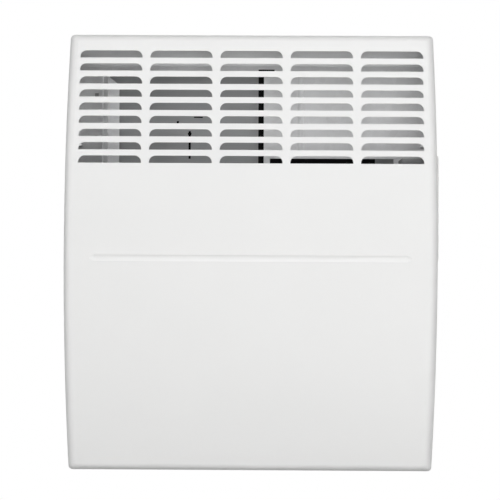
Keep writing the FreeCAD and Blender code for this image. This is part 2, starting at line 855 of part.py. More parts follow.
def hook_profile(seat):
    """A bracket hook seen from the side: a neck with a seat on top and a turned-up tip."""
    tip_back = f"({PANEL} - hook_play)"
    tip_front = f"({tip_back} - hook_tip_depth)"
    shoulder = f"({BACK} + hook_play)"
    root = "(-bracket_sheet / 2)"
    neck = f"({seat} - hook_neck)"
    return [
        (tip_front, neck),
        (tip_front, f"{seat} + hook_tip"),
        (f"{tip_back} - hook_play", f"{seat} + hook_tip"),
        (tip_back, f"{seat} + hook_tip - hook_neck / 2"),
        (tip_back, seat),
        (shoulder, seat),
        (shoulder, f"{seat} + hook_neck / 2"),
        (root, f"{seat} + hook_neck"),
        (root, f"{neck} - hook_tip"),
        (shoulder, neck),
    ]


def wall_bracket():
    """Pressed steel frame that is screwed to the wall, with four hooks and the catch's ears."""
    body = new_body("wall_bracket")
    right = f"({SIDE} - bracket_inset)"
    top = f"({TOP} - bracket_drop)"
    bottom = f"({BOTTOM} + bracket_rise)"
    under_head = f"({top} - bracket_head)"
    over_band = f"({bottom} + bracket_band)"
    plate_foot = f"({under_head} - plate_height)"
    left_window = rectangle(f"-{right} + bracket_side", "plate_right - post_width", over_band, plate_foot)
    right_window = rectangle("plate_right", f"{right} - bracket_side", over_band, under_head)
    outline = rectangle(f"-{right}", right, bottom, top)
    frame = draw(body, "frame", "XZ", [outline, left_window, right_window])
    pad(body, frame, "bracket_sheet")
    lip = rectangle("plate_right - bracket_sheet", "plate_right", over_band, under_head)
    pad(body, draw(body, "lip", "XZ", [lip]), "bracket_sheet + post_lip")

    for number, side in enumerate((-1, 1)):
        shift = ("0", "0", f"{side} * {HOOK_X}")
        hooks = [hook_profile(UPPER_HOOK_Z), hook_profile(LOWER_HOOK_Z)]
        pad(body, draw(body, f"hooks_{number}", "YZ", hooks, shift), "hook_sheet", side="Symmetric")
        ear_front = f"({CATCH_Y} - catch_barrel_radius)"
        half = "ear_height / 2"
        ear = [rectangle(ear_front, "-bracket_sheet / 2", f"{CATCH_Z} - {half}", f"{CATCH_Z} + {half}")]
        shift = ("0", "0", f"{side} * (catch_width / 2 + ear_gap + ear_sheet / 2)")
        pad(body, draw(body, f"ear_{number}", "YZ", ear, shift), "ear_sheet", side="Symmetric")

    pin_hole = draw_circles(body, "pin_hole", "YZ", [(CATCH_Y, CATCH_Z)], "pin_radius + seat_gap / 2")
    pocket(body, pin_hole, side="Symmetric")
    corners = [
        (f"{x} * ({SIDE} - wall_screw_inset)", f"{z} * ({TOP} - wall_screw_drop)")
        for x in (-1, 1)
        for z in (-1, 1)
    ]
    wall_holes = draw_circles(body, "wall_holes", "XZ", corners, "wall_hole_radius")
    pocket(body, wall_holes, side="Symmetric")
    slot_half = "level_slot_width / 2"
    level_foot = f"{LEVEL_Z} - level_slot_length"
    slot = rounded(f"-level_slot_x - {slot_half}", f"-level_slot_x + {slot_half}", level_foot, LEVEL_Z,
                   "level_slot_width / 3")
    slit_z = f"({TOP} - slit_drop)"
    slit_sides = ("-slit_x - slit_length / 2", "-slit_x + slit_length / 2")
    slit = rectangle(*slit_sides, f"{slit_z} - slit_width / 2", f"{slit_z} + slit_width / 2")
    pocket(body, draw(body, "slots", "XZ", [slot, slit]), side="Symmetric")
    head = [("-level_slot_x", f"{LEVEL_Z} - level_head_radius * 1.5")]
    pocket(body, draw_circles(body, "level_head", "XZ", head, "level_head_radius"), side="Symmetric")
    mark = [("-mark_x", f"{TOP} - mark_drop")]
    pocket(body, draw_circles(body, "mark", "XZ", mark, "mark_radius"), side="Symmetric")
    finished(body)


def catch_pin():
    """Steel pin through the bracket's ears."""
    reach = "(catch_width / 2 + ear_gap + ear_sheet + pin_spare)"
    pin = bar("catch_pin", "x", "pin_radius", f"-{reach}", reach, {"y": CATCH_Y, "z": CATCH_Z})
    finished(pin)


def release_catch():
    """Moulded catch that hangs on the pin, with a nose through the rear panel and a finger tab."""
    body = new_body("release_catch")
    arm_back = f"({CATCH_Y} - catch_arm / 2)"
    arm_front = f"({arm_back} - catch_arm)"
    tab = f"({BOTTOM} + catch_tab_rise)"
    nose_top = f"({NOSE_EDGE_Z} + nose_land)"
    arm = [
        (arm_front, CATCH_Z),
        (arm_back, CATCH_Z),
        (arm_back, tab),
        (arm_front, tab),
        (arm_front, f"{NOSE_Z} - nose_land"),
        (NOSE_BACK, NOSE_Z),
        (NOSE_FRONT, NOSE_EDGE_Z),
        (NOSE_FRONT, nose_top),
        (arm_front, f"{nose_top} + nose_land"),
    ]
    pad(body, draw(body, "arm", "YZ", [arm]), "catch_width", side="Symmetric")
    barrel_sketch = draw_circles(body, "barrel", "YZ", [(CATCH_Y, CATCH_Z)], "catch_barrel_radius")
    pad(body, barrel_sketch, "catch_width", side="Symmetric")
    bore = draw_circles(body, "bore", "YZ", [(CATCH_Y, CATCH_Z)], "pin_radius + running_gap")
    pocket(body, bore, side="Symmetric")
    finished(body)


def air_deflector():
    """Curved sheet under the casing's top that turns the warm air to the front."""
    body = new_body("air_deflector")
    ceiling = f"({TOP} - {PANEL_INNER})"
    centre_y = f"({PANEL} - deflector_radius)"
    centre_z = f"({ceiling} - deflector_radius)"
    lip_end = f"({centre_y} - deflector_lip)"
    section = [
        (lip_end, f"{ceiling} - sheet"),
        (lip_end, ceiling),
        (centre_y, ceiling, "deflector_radius"),
        (PANEL, centre_z),
        (PANEL, f"{centre_z} - sheet"),
        (f"{PANEL} - sheet", f"{centre_z} - sheet"),
        (f"{PANEL} - sheet", centre_z, "deflector_radius - sheet", "hollow"),
        (centre_y, f"{ceiling} - sheet"),
    ]
    width = f"2 * ({SIDE} - deflector_inset)"
    pad(body, draw(body, "section", "YZ", [section]), width, side="Symmetric")
    finished(body)


def left_duct():
    """Tall sheet wall at the left of the air duct, riveted to the rear panel by its flange."""
    body = new_body("left_duct")
    flange_right = f"({DUCT_X} + duct_flange)"
    section = [
        (DUCT_X, DUCT_FRONT),
        (DUCT_X, PANEL),
        (flange_right, PANEL),
        (flange_right, f"{PANEL} - sheet"),
        (f"{DUCT_X} + sheet", f"{PANEL} - sheet"),
        (f"{DUCT_X} + sheet", DUCT_FRONT),
    ]
    wall = draw(body, "section", "XY", [section], ("0", "0", DUCT_FOOT))
    pad(body, wall, f"{TOP} - duct_drop - {DUCT_FOOT}")
    top = f"({TOP} - duct_drop)"
    corner = [
        (f"{flange_right} - 1.27 * duct_chamfer", top),
        (flange_right, top),
        (flange_right, f"{top} - duct_chamfer"),
    ]
    pocket(body, draw(body, "corner", "XZ", [corner]), side="Symmetric")
    bush_hole = draw_circles(body, "bush_hole", "YZ", [(ELEMENT_Y, ELEMENT_Z)], "bush_radius + running_gap")
    pocket(body, bush_hole, side="Symmetric")
    holes = draw_circles(body, "rivet_holes", "XZ", RIVETS[:2], "rivet_radius + running_gap")
    pocket(body, holes, side="Symmetric")
    finished(body)


def element_bracket():
    """Short sheet wall that carries the right end of the element and the thermal cut-out."""
    body = new_body("element_bracket")
    outer = f"({ELEMENT_BRACKET_X} + sheet)"
    flange_left = f"({ELEMENT_BRACKET_X} - element_bracket_flange)"
    section = [
        (ELEMENT_BRACKET_X, DUCT_FRONT),
        (ELEMENT_BRACKET_X, f"{PANEL} - sheet"),
        (flange_left, f"{PANEL} - sheet"),
        (flange_left, PANEL),
        (outer, PANEL),
        (outer, DUCT_FRONT),
    ]
    wall = draw(body, "section", "XY", [section], ("0", "0", DUCT_FOOT))
    pad(body, wall, "element_bracket_height")
    bush_hole = draw_circles(body, "bush_hole", "YZ", [(ELEMENT_Y, ELEMENT_Z)], "bush_radius + running_gap")
    pocket(body, bush_hole, side="Symmetric")
    holes = draw_circles(body, "rivet_holes", "XZ", RIVETS[2:], "rivet_radius + running_gap")
    pocket(body, holes, side="Symmetric")
    finished(body)


def front_shield():
    """Sheet across the front of the duct that keeps the casing's front cool."""
    body = new_body("front_shield")
    front = f"({DUCT_FRONT} - sheet)"
    foot = f"({BOTTOM} + shield_rise)"
    head = f"({TOP} - shield_drop)"
    section = [
        (front, foot),
        (front, f"{head} - sheet"),
        (f"{front} - shield_lip", f"{head} - sheet"),
        (f"{front} - shield_lip", head),
        (DUCT_FRONT, head),
        (DUCT_FRONT, foot),
    ]
    profile = draw(body, "section", "YZ", [section], ("0", "0", DUCT_X))
    pad(body, profile, f"{ELEMENT_BRACKET_X} + sheet - {DUCT_X}")
    finished(body)


def heating_element():
    """Finned aluminium diffuser on a sheathed rod, with ceramic bushes and terminal blades."""
    left = f"({DUCT_X} + sheet + bush_collar + diffuser_end_gap)"
    right = f"({ELEMENT_BRACKET_X} - bush_collar - diffuser_end_gap)"
    length = f"({right} - {left})"
    body = new_body("element_diffuser")
    place(body, left, ELEMENT_Y, ELEMENT_Z)
    pad(body, draw_circles(body, "hub", "YZ", [("0", "0")], "hub_radius"), length)
    fin = rectangle("-fin_thickness / 2", "fin_thickness / 2", "0", "fin_length")
    fin_sketch = draw(body, "fin", "YZ", [fin])
    first = pad(body, fin_sketch, length)
    repeat_round(body, first, fin_sketch, "fin_count")
    bore = draw_circles(body, "bore", "YZ", [("0", "0")], "rod_radius + running_gap")
    pocket(body, bore, side="Symmetric")
    finished(body)

    across = {"y": ELEMENT_Y, "z": ELEMENT_Z}
    finished(bar("element_rod", "x", "rod_radius", ROD_LEFT, ROD_RIGHT, across))

    bushes = []
    walls = (f"({DUCT_X} + sheet)", ELEMENT_BRACKET_X)
    for number, (inner, side) in enumerate(zip(walls, (1, -1))):
        collar_end = f"({inner} + {side} * bush_collar)"
        sleeve_end = f"({collar_end} - {side} * bush_length)"
        collar_span = span(inner, collar_end, side)
        sleeve_span = span(sleeve_end, collar_end, side)
        collar = bar(f"bush_collar_{number}", "x", "bush_collar_radius", *collar_span, across)
        sleeve = bar(f"bush_sleeve_{number}", "x", "bush_radius", *sleeve_span, across)
        hole = bar(f"bush_hole_{number}", "x", "rod_radius + running_gap", *sleeve_span, across)
        bushes.append(cut(f"bush_{number}", fused(f"bush_blank_{number}", collar, sleeve), hole))
    group("element_bushes", *bushes)

    blade_y = (f"{ELEMENT_Y} - blade_thickness / 2", f"{ELEMENT_Y} + blade_thickness / 2")
    blade_z = (f"{ELEMENT_Z} - blade_width / 2", f"{ELEMENT_Z} + blade_width / 2")
    blades = [
        block("left_blade", (f"{ROD_LEFT} - blade_length", ROD_LEFT), blade_y, blade_z),
        block("right_blade", (ROD_RIGHT, f"{ROD_RIGHT} + blade_length"), blade_y, blade_z),
    ]
    group("element_terminals", *blades)


def span(start, end, side):
    """Two ends in rising order, given the sense in which they were measured."""
    return (start, end) if side > 0 else (end, start)


def thermal_cutout():
    """Disc cut-out on the element bracket, with two blades."""
    across = {"y": ELEMENT_Y, "z": CUTOUT_Z}
    disc = bar("cutout_disc", "x", "cutout_radius", f"{ELEMENT_BRACKET_X} + sheet", CUTOUT_END, across)
    blade_z = (f"{CUTOUT_Z} - blade_width / 2", f"{CUTOUT_Z} + blade_width / 2")
    blades = []
    for name, side in (("back", 1), ("front", -1)):
        middle = f"({ELEMENT_Y} + {side} * cutout_blade_gap / 2)"
        thick = (f"{middle} - blade_thickness / 2", f"{middle} + blade_thickness / 2")
        reach = (f"{CUTOUT_END} - blade_thickness", f"{CUTOUT_END} + blade_length")
        blades.append(block(f"cutout_blade_{name}", reach, thick, blade_z))
    finished(fused("thermal_cutout", disc, *blades))


def control_outline(grow):
    """The control recess's outline on the side, grown all round."""
    return (
        f"({CONTROL_Y} - recess_width / 2 - {grow})",
        f"({CONTROL_Y} + recess_width / 2 + {grow})",
        f"(control_height - recess_length / 2 - {grow})",
        f"(control_height + recess_length / 2 + {grow})",
    )


def control_panel():
    """Moulded panel in the casing's right side: a rim outside, a recess and its floor."""
    body = new_body("control_panel")
    rim_seat = f"({SIDE} + running_gap)"
    rim_loop = rounded(*control_outline("rim"), "recess_corner + rim")
    pad(body, draw(body, "rim", "YZ", [rim_loop], ("0", "0", rim_seat)), "rim_thickness")
    tub = rounded(*control_outline("recess_wall"), "recess_corner")
    pad(body, draw(body, "tub", "YZ", [tub], ("0", "0", FLOOR_BACK)), f"{rim_seat} - {FLOOR_BACK}")
    recess = rounded(*control_outline("0"), "recess_corner - recess_wall")
    outside = f"({rim_seat} + rim_thickness)"
    recess_sketch = draw(body, "recess", "YZ", [recess], ("0", "0", outside))
    pocket(body, recess_sketch, f"{outside} - {FLOOR}")

    shift = ("0", "0", outside)
    round_holes = {
        "shaft_hole": ([(CONTROL_Y, THERMOSTAT_Z)], "shaft_hole_radius"),
        "screw_holes": (CONTROL_SCREWS, "control_screw_radius + seat_gap"),
        "pilot_hole": ([(CONTROL_Y, PILOT_Z)], "pilot_body_radius + seat_gap"),
    }
    for name, (centres, radius) in round_holes.items():
        pocket(body, draw_circles(body, name, "YZ", centres, radius, shift))
    switch = rectangle(*switch_outline("switch_width + 2 * seat_gap", "switch_length + 2 * seat_gap"))
    pocket(body, draw(body, "switch_hole", "YZ", [switch], shift))
    finished(body)


def switch_outline(width, length):
    """A rectangle of the switch's own middle."""
    return (
        f"({CONTROL_Y} - ({width}) / 2)",
        f"({CONTROL_Y} + ({width}) / 2)",
        f"({SWITCH_Z} - ({length}) / 2)",
        f"({SWITCH_Z} + ({length}) / 2)",
    )


CONTROL_SCREWS = [
    (CONTROL_Y, f"{THERMOSTAT_Z} + control_screw_pitch / 2"),
    (CONTROL_Y, f"{THERMOSTAT_Z} - control_screw_pitch / 2"),
]


def control_housing():
    """Sheet box behind the control panel that shields the controls from the warm air."""
    low_y, high_y, low_z, high_z = control_outline("recess_wall")
    shell = block("housing_shell", (HOUSING_LEFT, FLOOR_BACK), (low_y, high_y), (low_z, high_z))
    hollow = block(
        "housing_hollow",
        (f"{HOUSING_LEFT} + housing_wall", f"{FLOOR_BACK} + spare"),
        (f"{low_y} + housing_wall", f"{high_y} - housing_wall"),
        (f"{low_z} + housing_wall", f"{high_z} - housing_wall"),
    )
    holes = [
        bar(f"housing_hole_{number}", "z", "wire_radius * 2", f"{low_z} - spare", f"{low_z} + spare", across)
        for number, across in enumerate(HOUSING_WIRES)
    ]
    finished(cut("control_housing", shell, hollow, *holes))


SWITCH_WIRE_X = f"({FLOOR_BACK} - switch_depth / 2)"
SENSE_WIRE_X = f"({HOUSING_LEFT} + housing_wall + wire_radius * 3)"
HOUSING_WIRES = [
    {"x": SWITCH_WIRE_X, "y": f"({CONTROL_Y} + switch_width / 4)"},
    {"x": SENSE_WIRE_X, "y": f"({CONTROL_Y} - thermostat_width * 3 / 8)"},
]


def thermostat():
    """Thermostat body behind the floor, its screws, the shaft and the knob pressed on it."""
    body_x = (f"{FLOOR_BACK} - thermostat_depth", FLOOR_BACK)
    body_y = (f"{CONTROL_Y} - thermostat_width / 2", f"{CONTROL_Y} + thermostat_width / 2")
    body_z = (f"{THERMOSTAT_Z} - thermostat_length / 2", f"{THERMOSTAT_Z} + thermostat_length / 2")
    across = {"y": CONTROL_Y, "z": THERMOSTAT_Z}
    socket_foot = f"({FLOOR_BACK} - shaft_socket)"
    mouth = f"({FLOOR_BACK} + spare)"
    socket = bar("thermostat_socket", "x", "shaft_radius + running_gap", socket_foot, mouth, across)
    holes = []
    screws = []
    for number, (y, z) in enumerate(CONTROL_SCREWS):
        at = {"y": y, "z": z}
        foot = f"({FLOOR} - control_screw_length)"
        holes.append(bar(f"thermostat_hole_{number}", "x", "control_screw_radius + running_gap",
                         f"{foot} - seat_gap", mouth, at))
        head = bar(f"thermostat_screw_head_{number}", "x", "control_screw_head", FLOOR,
                   f"{FLOOR} + control_screw_radius", at)
        shank = bar(f"thermostat_screw_shank_{number}", "x", "control_screw_radius", foot,
                    f"{FLOOR} + control_screw_radius", at)
        screws.append(fused(f"thermostat_screw_{number}", head, shank))
    case = block("thermostat_case", body_x, body_y, body_z)
    finished(cut("thermostat_body", case, socket, *holes))
    group("thermostat_screws", *screws)

    shaft_end = f"({FLOOR} + knob_gap + knob_height - knob_wall - seat_gap)"
    shaft = bar("thermostat_shaft", "x", "shaft_radius", f"{socket_foot} + seat_gap", shaft_end, across)
    finished(shaft)
    thermostat_knob()


def thermostat_knob():
    """Moulded knob: hollow skirt, hub, fluted rim and a pointer groove, at its lowest setting."""
    body = new_body("thermostat_knob")
    body.Placement = Placement(Vector(), Rotation(AXES["x"], value("pointer_start")) * TURN_Z_TO["x"])
    place(body, f"{FLOOR} + knob_gap", CONTROL_Y, THERMOSTAT_Z)
    ceiling = "(knob_height - knob_wall)"
    shoulder = "(knob_height - knob_round)"
    half = [
        ("0", ceiling),
        ("0", "knob_height"),
        ("knob_top_radius - knob_round", "knob_height", "knob_round"),
        ("knob_top_radius", shoulder),
        ("knob_radius", "0"),
        ("knob_radius - knob_wall", "0"),
        ("knob_top_radius - knob_wall", ceiling),
        ("knob_hub_radius", ceiling),
        ("knob_hub_radius", "knob_wall"),
        ("shaft_radius", "knob_wall"),
        ("shaft_radius", ceiling),
    ]
    revolve(body, "Revolution", draw(body, "half", "XZ", [half]), "V_Axis")
    flute = draw_circles(body, "flute", "XY", [("knob_radius + flute_radius / 2", "0")], "flute_radius")
    first = pocket(body, flute, reverse=True)
    repeat_round(body, first, flute, "knob_flutes")
    tip = "(knob_top_radius - knob_round)"
    pointer = rectangle(f"-{tip}", f"-{tip} + pointer_length", "-pointer_width / 2", "pointer_width / 2")
    pocket(body, draw(body, "pointer", "XY", [pointer], ("0", "0", "knob_height")), "pointer_depth")
    finished(body)


def power_switch():
    """Rocker switch: body with its bezel, a pivot pin and the rocker, pressed in at its lower end."""
    pivot_x = f"({FLOOR} - rocker_pivot_depth)"
    bezel_front = f"({FLOOR} + bezel_thickness)"
    outline = switch_outline("bezel_width", "bezel_length")
    bezel = block("switch_bezel", (FLOOR, bezel_front), outline[:2], outline[2:])
    outline = switch_outline("switch_width", "switch_length")
    case = block("switch_case", (f"{FLOOR_BACK} - switch_depth", bezel_front), outline[:2], outline[2:])
    outline = switch_outline("well_width", "well_length")
    well_x = (f"{bezel_front} - well_depth", f"{bezel_front} + spare")
    well = block("switch_well", well_x, outline[:2], outline[2:])
    reach = "(switch_width / 2 - seat_gap)"
    ends = (f"{CONTROL_Y} - {reach}", f"{CONTROL_Y} + {reach}")
    across = {"x": pivot_x, "z": SWITCH_Z}
    pin_hole = bar("switch_pin_hole", "y", "rocker_pin_radius + seat_gap / 4", *ends, across)
    blank = fused("switch_blank", bezel, case)
    finished(cut("switch_body", blank, well, pin_hole))
    finished(bar("switch_pivot", "y", "rocker_pin_radius", *ends, across))

    body = new_body("switch_rocker")
    body.Placement = Placement(Vector(), Rotation(AXES["y"], value("rocker_tilt")))
    place(body, pivot_x, CONTROL_Y, SWITCH_Z)
    end = "(rocker_length / 2)"
    foot = "(rocker_foot / 2)"
    section = [
        ("rocker_shoulder", f"-{end}"),
        ("-rocker_shoulder", f"-{foot}"),
        ("-rocker_shoulder", foot),
        ("rocker_shoulder", end),
        ("rocker_ends", end),
        ("rocker_middle", "0"),
        ("rocker_ends", f"-{end}"),
    ]
    pad(body, draw(body, "section", "XZ", [section]), "well_width - 2 * rocker_gap", side="Symmetric")
    bore = draw_circles(body, "bore", "XZ", [("0", "0")], "rocker_pin_radius + running_gap")
    pocket(body, bore, side="Symmetric")
    finished(body)


def pilot_lens():
    """Small domed lens of the pilot light, seated on the recess floor."""
    body = new_body("pilot_lens")
    body.Placement = Placement(Vector(), TURN_Z_TO["x"])
    place(body, FLOOR, CONTROL_Y, PILOT_Z)
    dome_radius = "((pilot_radius^2 + pilot_dome^2) / (2 * pilot_dome))"
    half = [
        ("0", "-pilot_body"),
        ("0", "pilot_rim + pilot_dome", dome_radius),
        ("pilot_radius", "pilot_rim"),
        ("pilot_radius", "0"),
        ("pilot_body_radius", "0"),
        ("pilot_body_radius", "-pilot_body"),
    ]
    revolve(body, "Revolution", draw(body, "half", "XZ", [half]), "V_Axis")
    finished(body)


def terminals():
    """Terminal block on the rear panel with its screws, and the earth stud and nut."""
    block_x = (f"{TERMINAL_RIGHT} - terminal_length", TERMINAL_RIGHT)
    front = f"({PANEL} - terminal_depth)"
    case = block("terminal_case", block_x, (front, PANEL), (TERMINAL_Z, TERMINAL_TOP))
    wells = []
    screws = []
    for pole in (-1, 0, 1):
        across = {"x": f"({TERMINAL_X} + {pole} * pole_pitch)", "z": f"({TERMINAL_Z} + terminal_height / 2)"}
        floor_y = f"({front} + terminal_well)"
        wells.append(bar(f"terminal_well_{pole + 1}", "y", "terminal_screw_radius + seat_gap",
                         f"{front} - spare", floor_y, across))
        screws.append(bar(f"terminal_screw_{pole + 1}", "y", "terminal_screw_radius",
                          f"{floor_y} - terminal_screw_length", floor_y, across))
    finished(cut("terminal_block", case, *wells))
    group("terminal_screws", *screws)

    across = {"x": EARTH_X, "z": EARTH_Z}
    stud_end = f"({PANEL} - earth_stud_length)"
    stud = bar("earth_stud", "y", "earth_stud_radius", stud_end, PANEL, across)
    finished(stud)
    nut = doc.addObject("Part::Prism", "earth_nut_blank")
    nut.Polygon = 6
    nut.Placement = Placement(Vector(), TURN_Z_TO["y"])
    bind(nut, "Circumradius", "earth_nut_radius")
    bind(nut, "Height", "earth_nut")
    nut_front = f"({stud_end} + earth_stud_radius / 2)"
    place(nut, EARTH_X, nut_front, EARTH_Z)
    hole_span = (f"{nut_front} - spare", f"{PANEL} + spare")
    hole = bar("earth_nut_hole", "y", "earth_stud_radius + running_gap / 2", *hole_span, across)
    finished(cut("earth_nut", nut, hole))


def cable_gland():
    """Gland through the rear panel for the supply lead, and the nut that holds it."""
    across = {"x": GLAND_X, "z": GLAND_Z}
    inner_end = f"({PANEL} - gland_length)"
    outer_end = f"({BACK} + gland_flange)"
    flange = bar("gland_flange", "y", "gland_flange_radius", BACK, outer_end, across)
    barrel_part = bar("gland_barrel", "y", "gland_body_radius", inner_end, outer_end, across)
    bore = bar("gland_bore", "y", "gland_bore_radius", f"{inner_end} - spare", f"{outer_end} + spare", across)
    finished(cut("cable_gland", fused("gland_blank", flange, barrel_part), bore))
    ring = bar("gland_ring", "y", "gland_flange_radius", f"{PANEL} - gland_nut", PANEL, across)
    hole_span = (f"{PANEL} - gland_nut - spare", f"{PANEL} + spare")
    hole = bar("gland_nut_hole", "y", "gland_body_radius + running_gap", *hole_span, across)
    finished(cut("gland_nut", ring, hole))


def wire(label, *route):
    """An insulated wire along straight runs joined by the largest tangent arcs that they allow."""
    radius = value("wire_radius")
    points = [Vector(*(value(formula) for formula in point)) for point in route]
    edges = []
    length = 0.0
    start = points[0]
    for before, corner, after in zip(points, points[1:], points[2:]):
        back = (before - corner).normalize()
        onward = (after - corner).normalize()
        turn = math.pi - back.getAngle(onward)
        reach = 0.45 * min((before - corner).Length, (after - corner).Length)
        bend = reach / math.tan(turn / 2)
        inwards = (back + onward).normalize()
        middle = corner + inwards * bend * (1 / math.cos(turn / 2) - 1)
        arc_start = corner + back * reach
        arc_end = corner + onward * reach
        edges.append(Part.LineSegment(start, arc_start).toShape())
        edges.append(Part.Arc(arc_start, middle, arc_end).toShape())
        length += (arc_start - start).Length + bend * turn
        start = arc_end
    edges.append(Part.LineSegment(start, points[-1]).toShape())
    length += (points[-1] - start).Length
    section = Part.Wire([Part.Circle(points[0], points[1] - points[0], radius).toShape()])
    tube = Part.Wire(edges).makePipeShell([section], True, True)
    expected = math.pi * radius**2 * length
    if abs(tube.Volume - expected) > 0.01 * expected:
        raise RuntimeError(f"{label} is not a clean tube")
    thing = doc.addObject("Part::Feature", label)
    thing.Shape = tube
    thing.Placement = Placement()
    return finished(thing)


def wires():
    """Wires between the terminal block, switch, thermostat, cut-out and element."""
    pole_y = f"({PANEL} - wire_from_panel)"
    poles = [f"({TERMINAL_X} + {pole} * pole_pitch)" for pole in (-1, 0, 1)]
    housing_foot = "(control_height - recess_length / 2 - recess_wall)"
    switch_low = f"({SWITCH_Z} - switch_length / 2)"
    switch_high = f"({SWITCH_Z} + switch_length / 2)"
    thermostat_low = f"({THERMOSTAT_Z} - thermostat_length / 2)"
    switch_x, switch_y = HOUSING_WIRES[0]["x"], HOUSING_WIRES[0]["y"]
    sense_x, sense_y = HOUSING_WIRES[1]["x"], HOUSING_WIRES[1]["y"]
    below_housing = f"({housing_foot} - element_from_panel)"
    wire(
        "live_wire",
        (poles[0], pole_y, TERMINAL_TOP),
        (poles[0], pole_y, f"{TERMINAL_TOP} + element_from_panel"),
        (switch_x, switch_y, below_housing),
        (switch_x, switch_y, switch_low),
    )
    jumper_y = f"({CONTROL_Y} - switch_width / 4)"
    wire("switch_wire", (switch_x, jumper_y, switch_high), (switch_x, jumper_y, thermostat_low))

    blade_end = f"({CUTOUT_END} + blade_length)"
    front_blade = f"({ELEMENT_Y} - cutout_blade_gap / 2)"
    back_blade = f"({ELEMENT_Y} + cutout_blade_gap / 2)"
    wire(
        "cutout_wire",
        (sense_x, sense_y, thermostat_low),
        (sense_x, sense_y, below_housing),
        (sense_x, front_blade, CUTOUT_Z),
        (blade_end, front_blade, CUTOUT_Z),
    )
    loop_x = f"({blade_end} + 2 * blade_length)"
    wire(
        "element_wire",
        (blade_end, back_blade, CUTOUT_Z),
        (loop_x, back_blade, CUTOUT_Z),
        (loop_x, ELEMENT_Y, ELEMENT_Z),
        (f"{ROD_RIGHT} + blade_length", ELEMENT_Y, ELEMENT_Z),
    )
    left_x = f"({ROD_LEFT} - blade_length / 2)"
    right_x = f"({GLAND_X} - gland_nut)"
    wire(
        "neutral_wire",
        (poles[1], pole_y, TERMINAL_Z),
        (poles[1], pole_y, f"{TERMINAL_Z} - blade_length"),
        (right_x, pole_y, f"{TERMINAL_Z} - element_from_panel"),
        (right_x, WIRE_Y, HARNESS_Z),
        (left_x, WIRE_Y, HARNESS_Z),
        (left_x, ELEMENT_Y, f"{HARNESS_Z} + element_from_panel"),
        (left_x, ELEMENT_Y, f"{ELEMENT_Z} - blade_width / 2"),
    )
    nut_flat = f"({EARTH_Z} + earth_nut_radius * sqrt(3) / 2)"
    wire("earth_wire", (poles[2], pole_y, TERMINAL_Z), (poles[2], pole_y, nut_flat))


def wire_clips():
    """Moulded clips that hold the long wire to the rear panel."""
    clips = []
    front = f"({WIRE_Y} - wire_radius - wire_clip_cover)"
    for number in range(int(value("wire_clip_count"))):
        middle = f"(wire_clip_pitch * ({number} - (wire_clip_count - 1) / 2))"
        sides = (f"{middle} - wire_clip_width / 2", f"{middle} + wire_clip_width / 2")
        heights = (f"{HARNESS_Z} - wire_clip_height / 2", f"{HARNESS_Z} + wire_clip_height / 2")
        body = block(f"clip_body_{number}", sides, (front, PANEL), heights)
        bore_ends = (f"{middle} - wire_clip_width", f"{middle} + wire_clip_width")
        across = {"y": WIRE_Y, "z": HARNESS_Z}
        bore = bar(f"clip_bore_{number}", "x", "wire_radius + running_gap", *bore_ends, across)
        clips.append(cut(f"clip_{number}", body, bore))
    group("wire_clips", *clips)


front_casing()
rear_panel()
wall_bracket()
catch_pin()
release_catch()
air_deflector()
left_duct()
element_bracket()
front_shield()
heating_element()
thermal_cutout()
control_panel()
control_housing()
thermostat()
power_switch()
pilot_lens()
terminals()
cable_gland()
wires()
wire_clips()
casing_screws()
duct_rivets()

doc.recompute()
failed = [thing.Name for thing in doc.Objects if {"Invalid", "Error"} & set(thing.State)]
failed += [piece.Label for piece in PIECES if piece.Shape.isNull() or not piece.Shape.isValid()]
if failed:
    raise RuntimeError(f"these objects failed: {failed}")

os.makedirs("parts", exist_ok=True)
for piece in PIECES:
    piece.Shape.exportStep(f"parts/{piece.Label}.step")
    print(f"{piece.Label}: {len(piece.Shape.Solids)} solids, {piece.Shape.Volume:.0f} mm3")
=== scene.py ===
import math

import bmesh
import bpy
from mathutils import Matrix, Vector


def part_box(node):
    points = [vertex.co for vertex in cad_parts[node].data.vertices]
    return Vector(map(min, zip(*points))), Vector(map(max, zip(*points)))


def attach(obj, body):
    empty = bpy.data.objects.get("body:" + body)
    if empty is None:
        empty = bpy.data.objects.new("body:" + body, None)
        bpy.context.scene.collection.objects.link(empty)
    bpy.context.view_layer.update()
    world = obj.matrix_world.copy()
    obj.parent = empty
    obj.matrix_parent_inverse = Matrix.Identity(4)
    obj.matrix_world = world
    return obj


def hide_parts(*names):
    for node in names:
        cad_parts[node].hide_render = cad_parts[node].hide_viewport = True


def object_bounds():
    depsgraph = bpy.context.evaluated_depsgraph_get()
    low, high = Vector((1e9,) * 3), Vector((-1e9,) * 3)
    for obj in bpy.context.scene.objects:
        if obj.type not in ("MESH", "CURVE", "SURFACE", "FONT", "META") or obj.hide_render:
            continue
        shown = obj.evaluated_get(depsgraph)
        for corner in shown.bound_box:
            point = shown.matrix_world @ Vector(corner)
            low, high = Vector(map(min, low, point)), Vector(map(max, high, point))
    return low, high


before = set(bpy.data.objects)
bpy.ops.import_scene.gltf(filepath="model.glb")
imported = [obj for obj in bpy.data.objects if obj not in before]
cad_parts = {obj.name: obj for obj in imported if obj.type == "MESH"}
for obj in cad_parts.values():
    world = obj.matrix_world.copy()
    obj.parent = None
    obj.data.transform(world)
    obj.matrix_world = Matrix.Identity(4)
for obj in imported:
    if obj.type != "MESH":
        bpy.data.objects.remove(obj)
cad_low, cad_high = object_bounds()

# Wall bracket: a frame of sheet steel, punched, folded and powder coated grey.
# Four wall screws hold it, and the heater hangs on its hooks.
NOISE_LOW, NOISE_MIDDLE, NOISE_HIGH = 0.3, 0.5, 0.7


def place_node(tree, kind, inputs=None, **settings):
    """A shader node with its settings and unlinked inputs."""
    node = tree.nodes.new(kind)
    for name, value in settings.items():
        setattr(node, name, value)
    for name, value in (inputs or {}).items():
        node.inputs[name].default_value = value
    return node


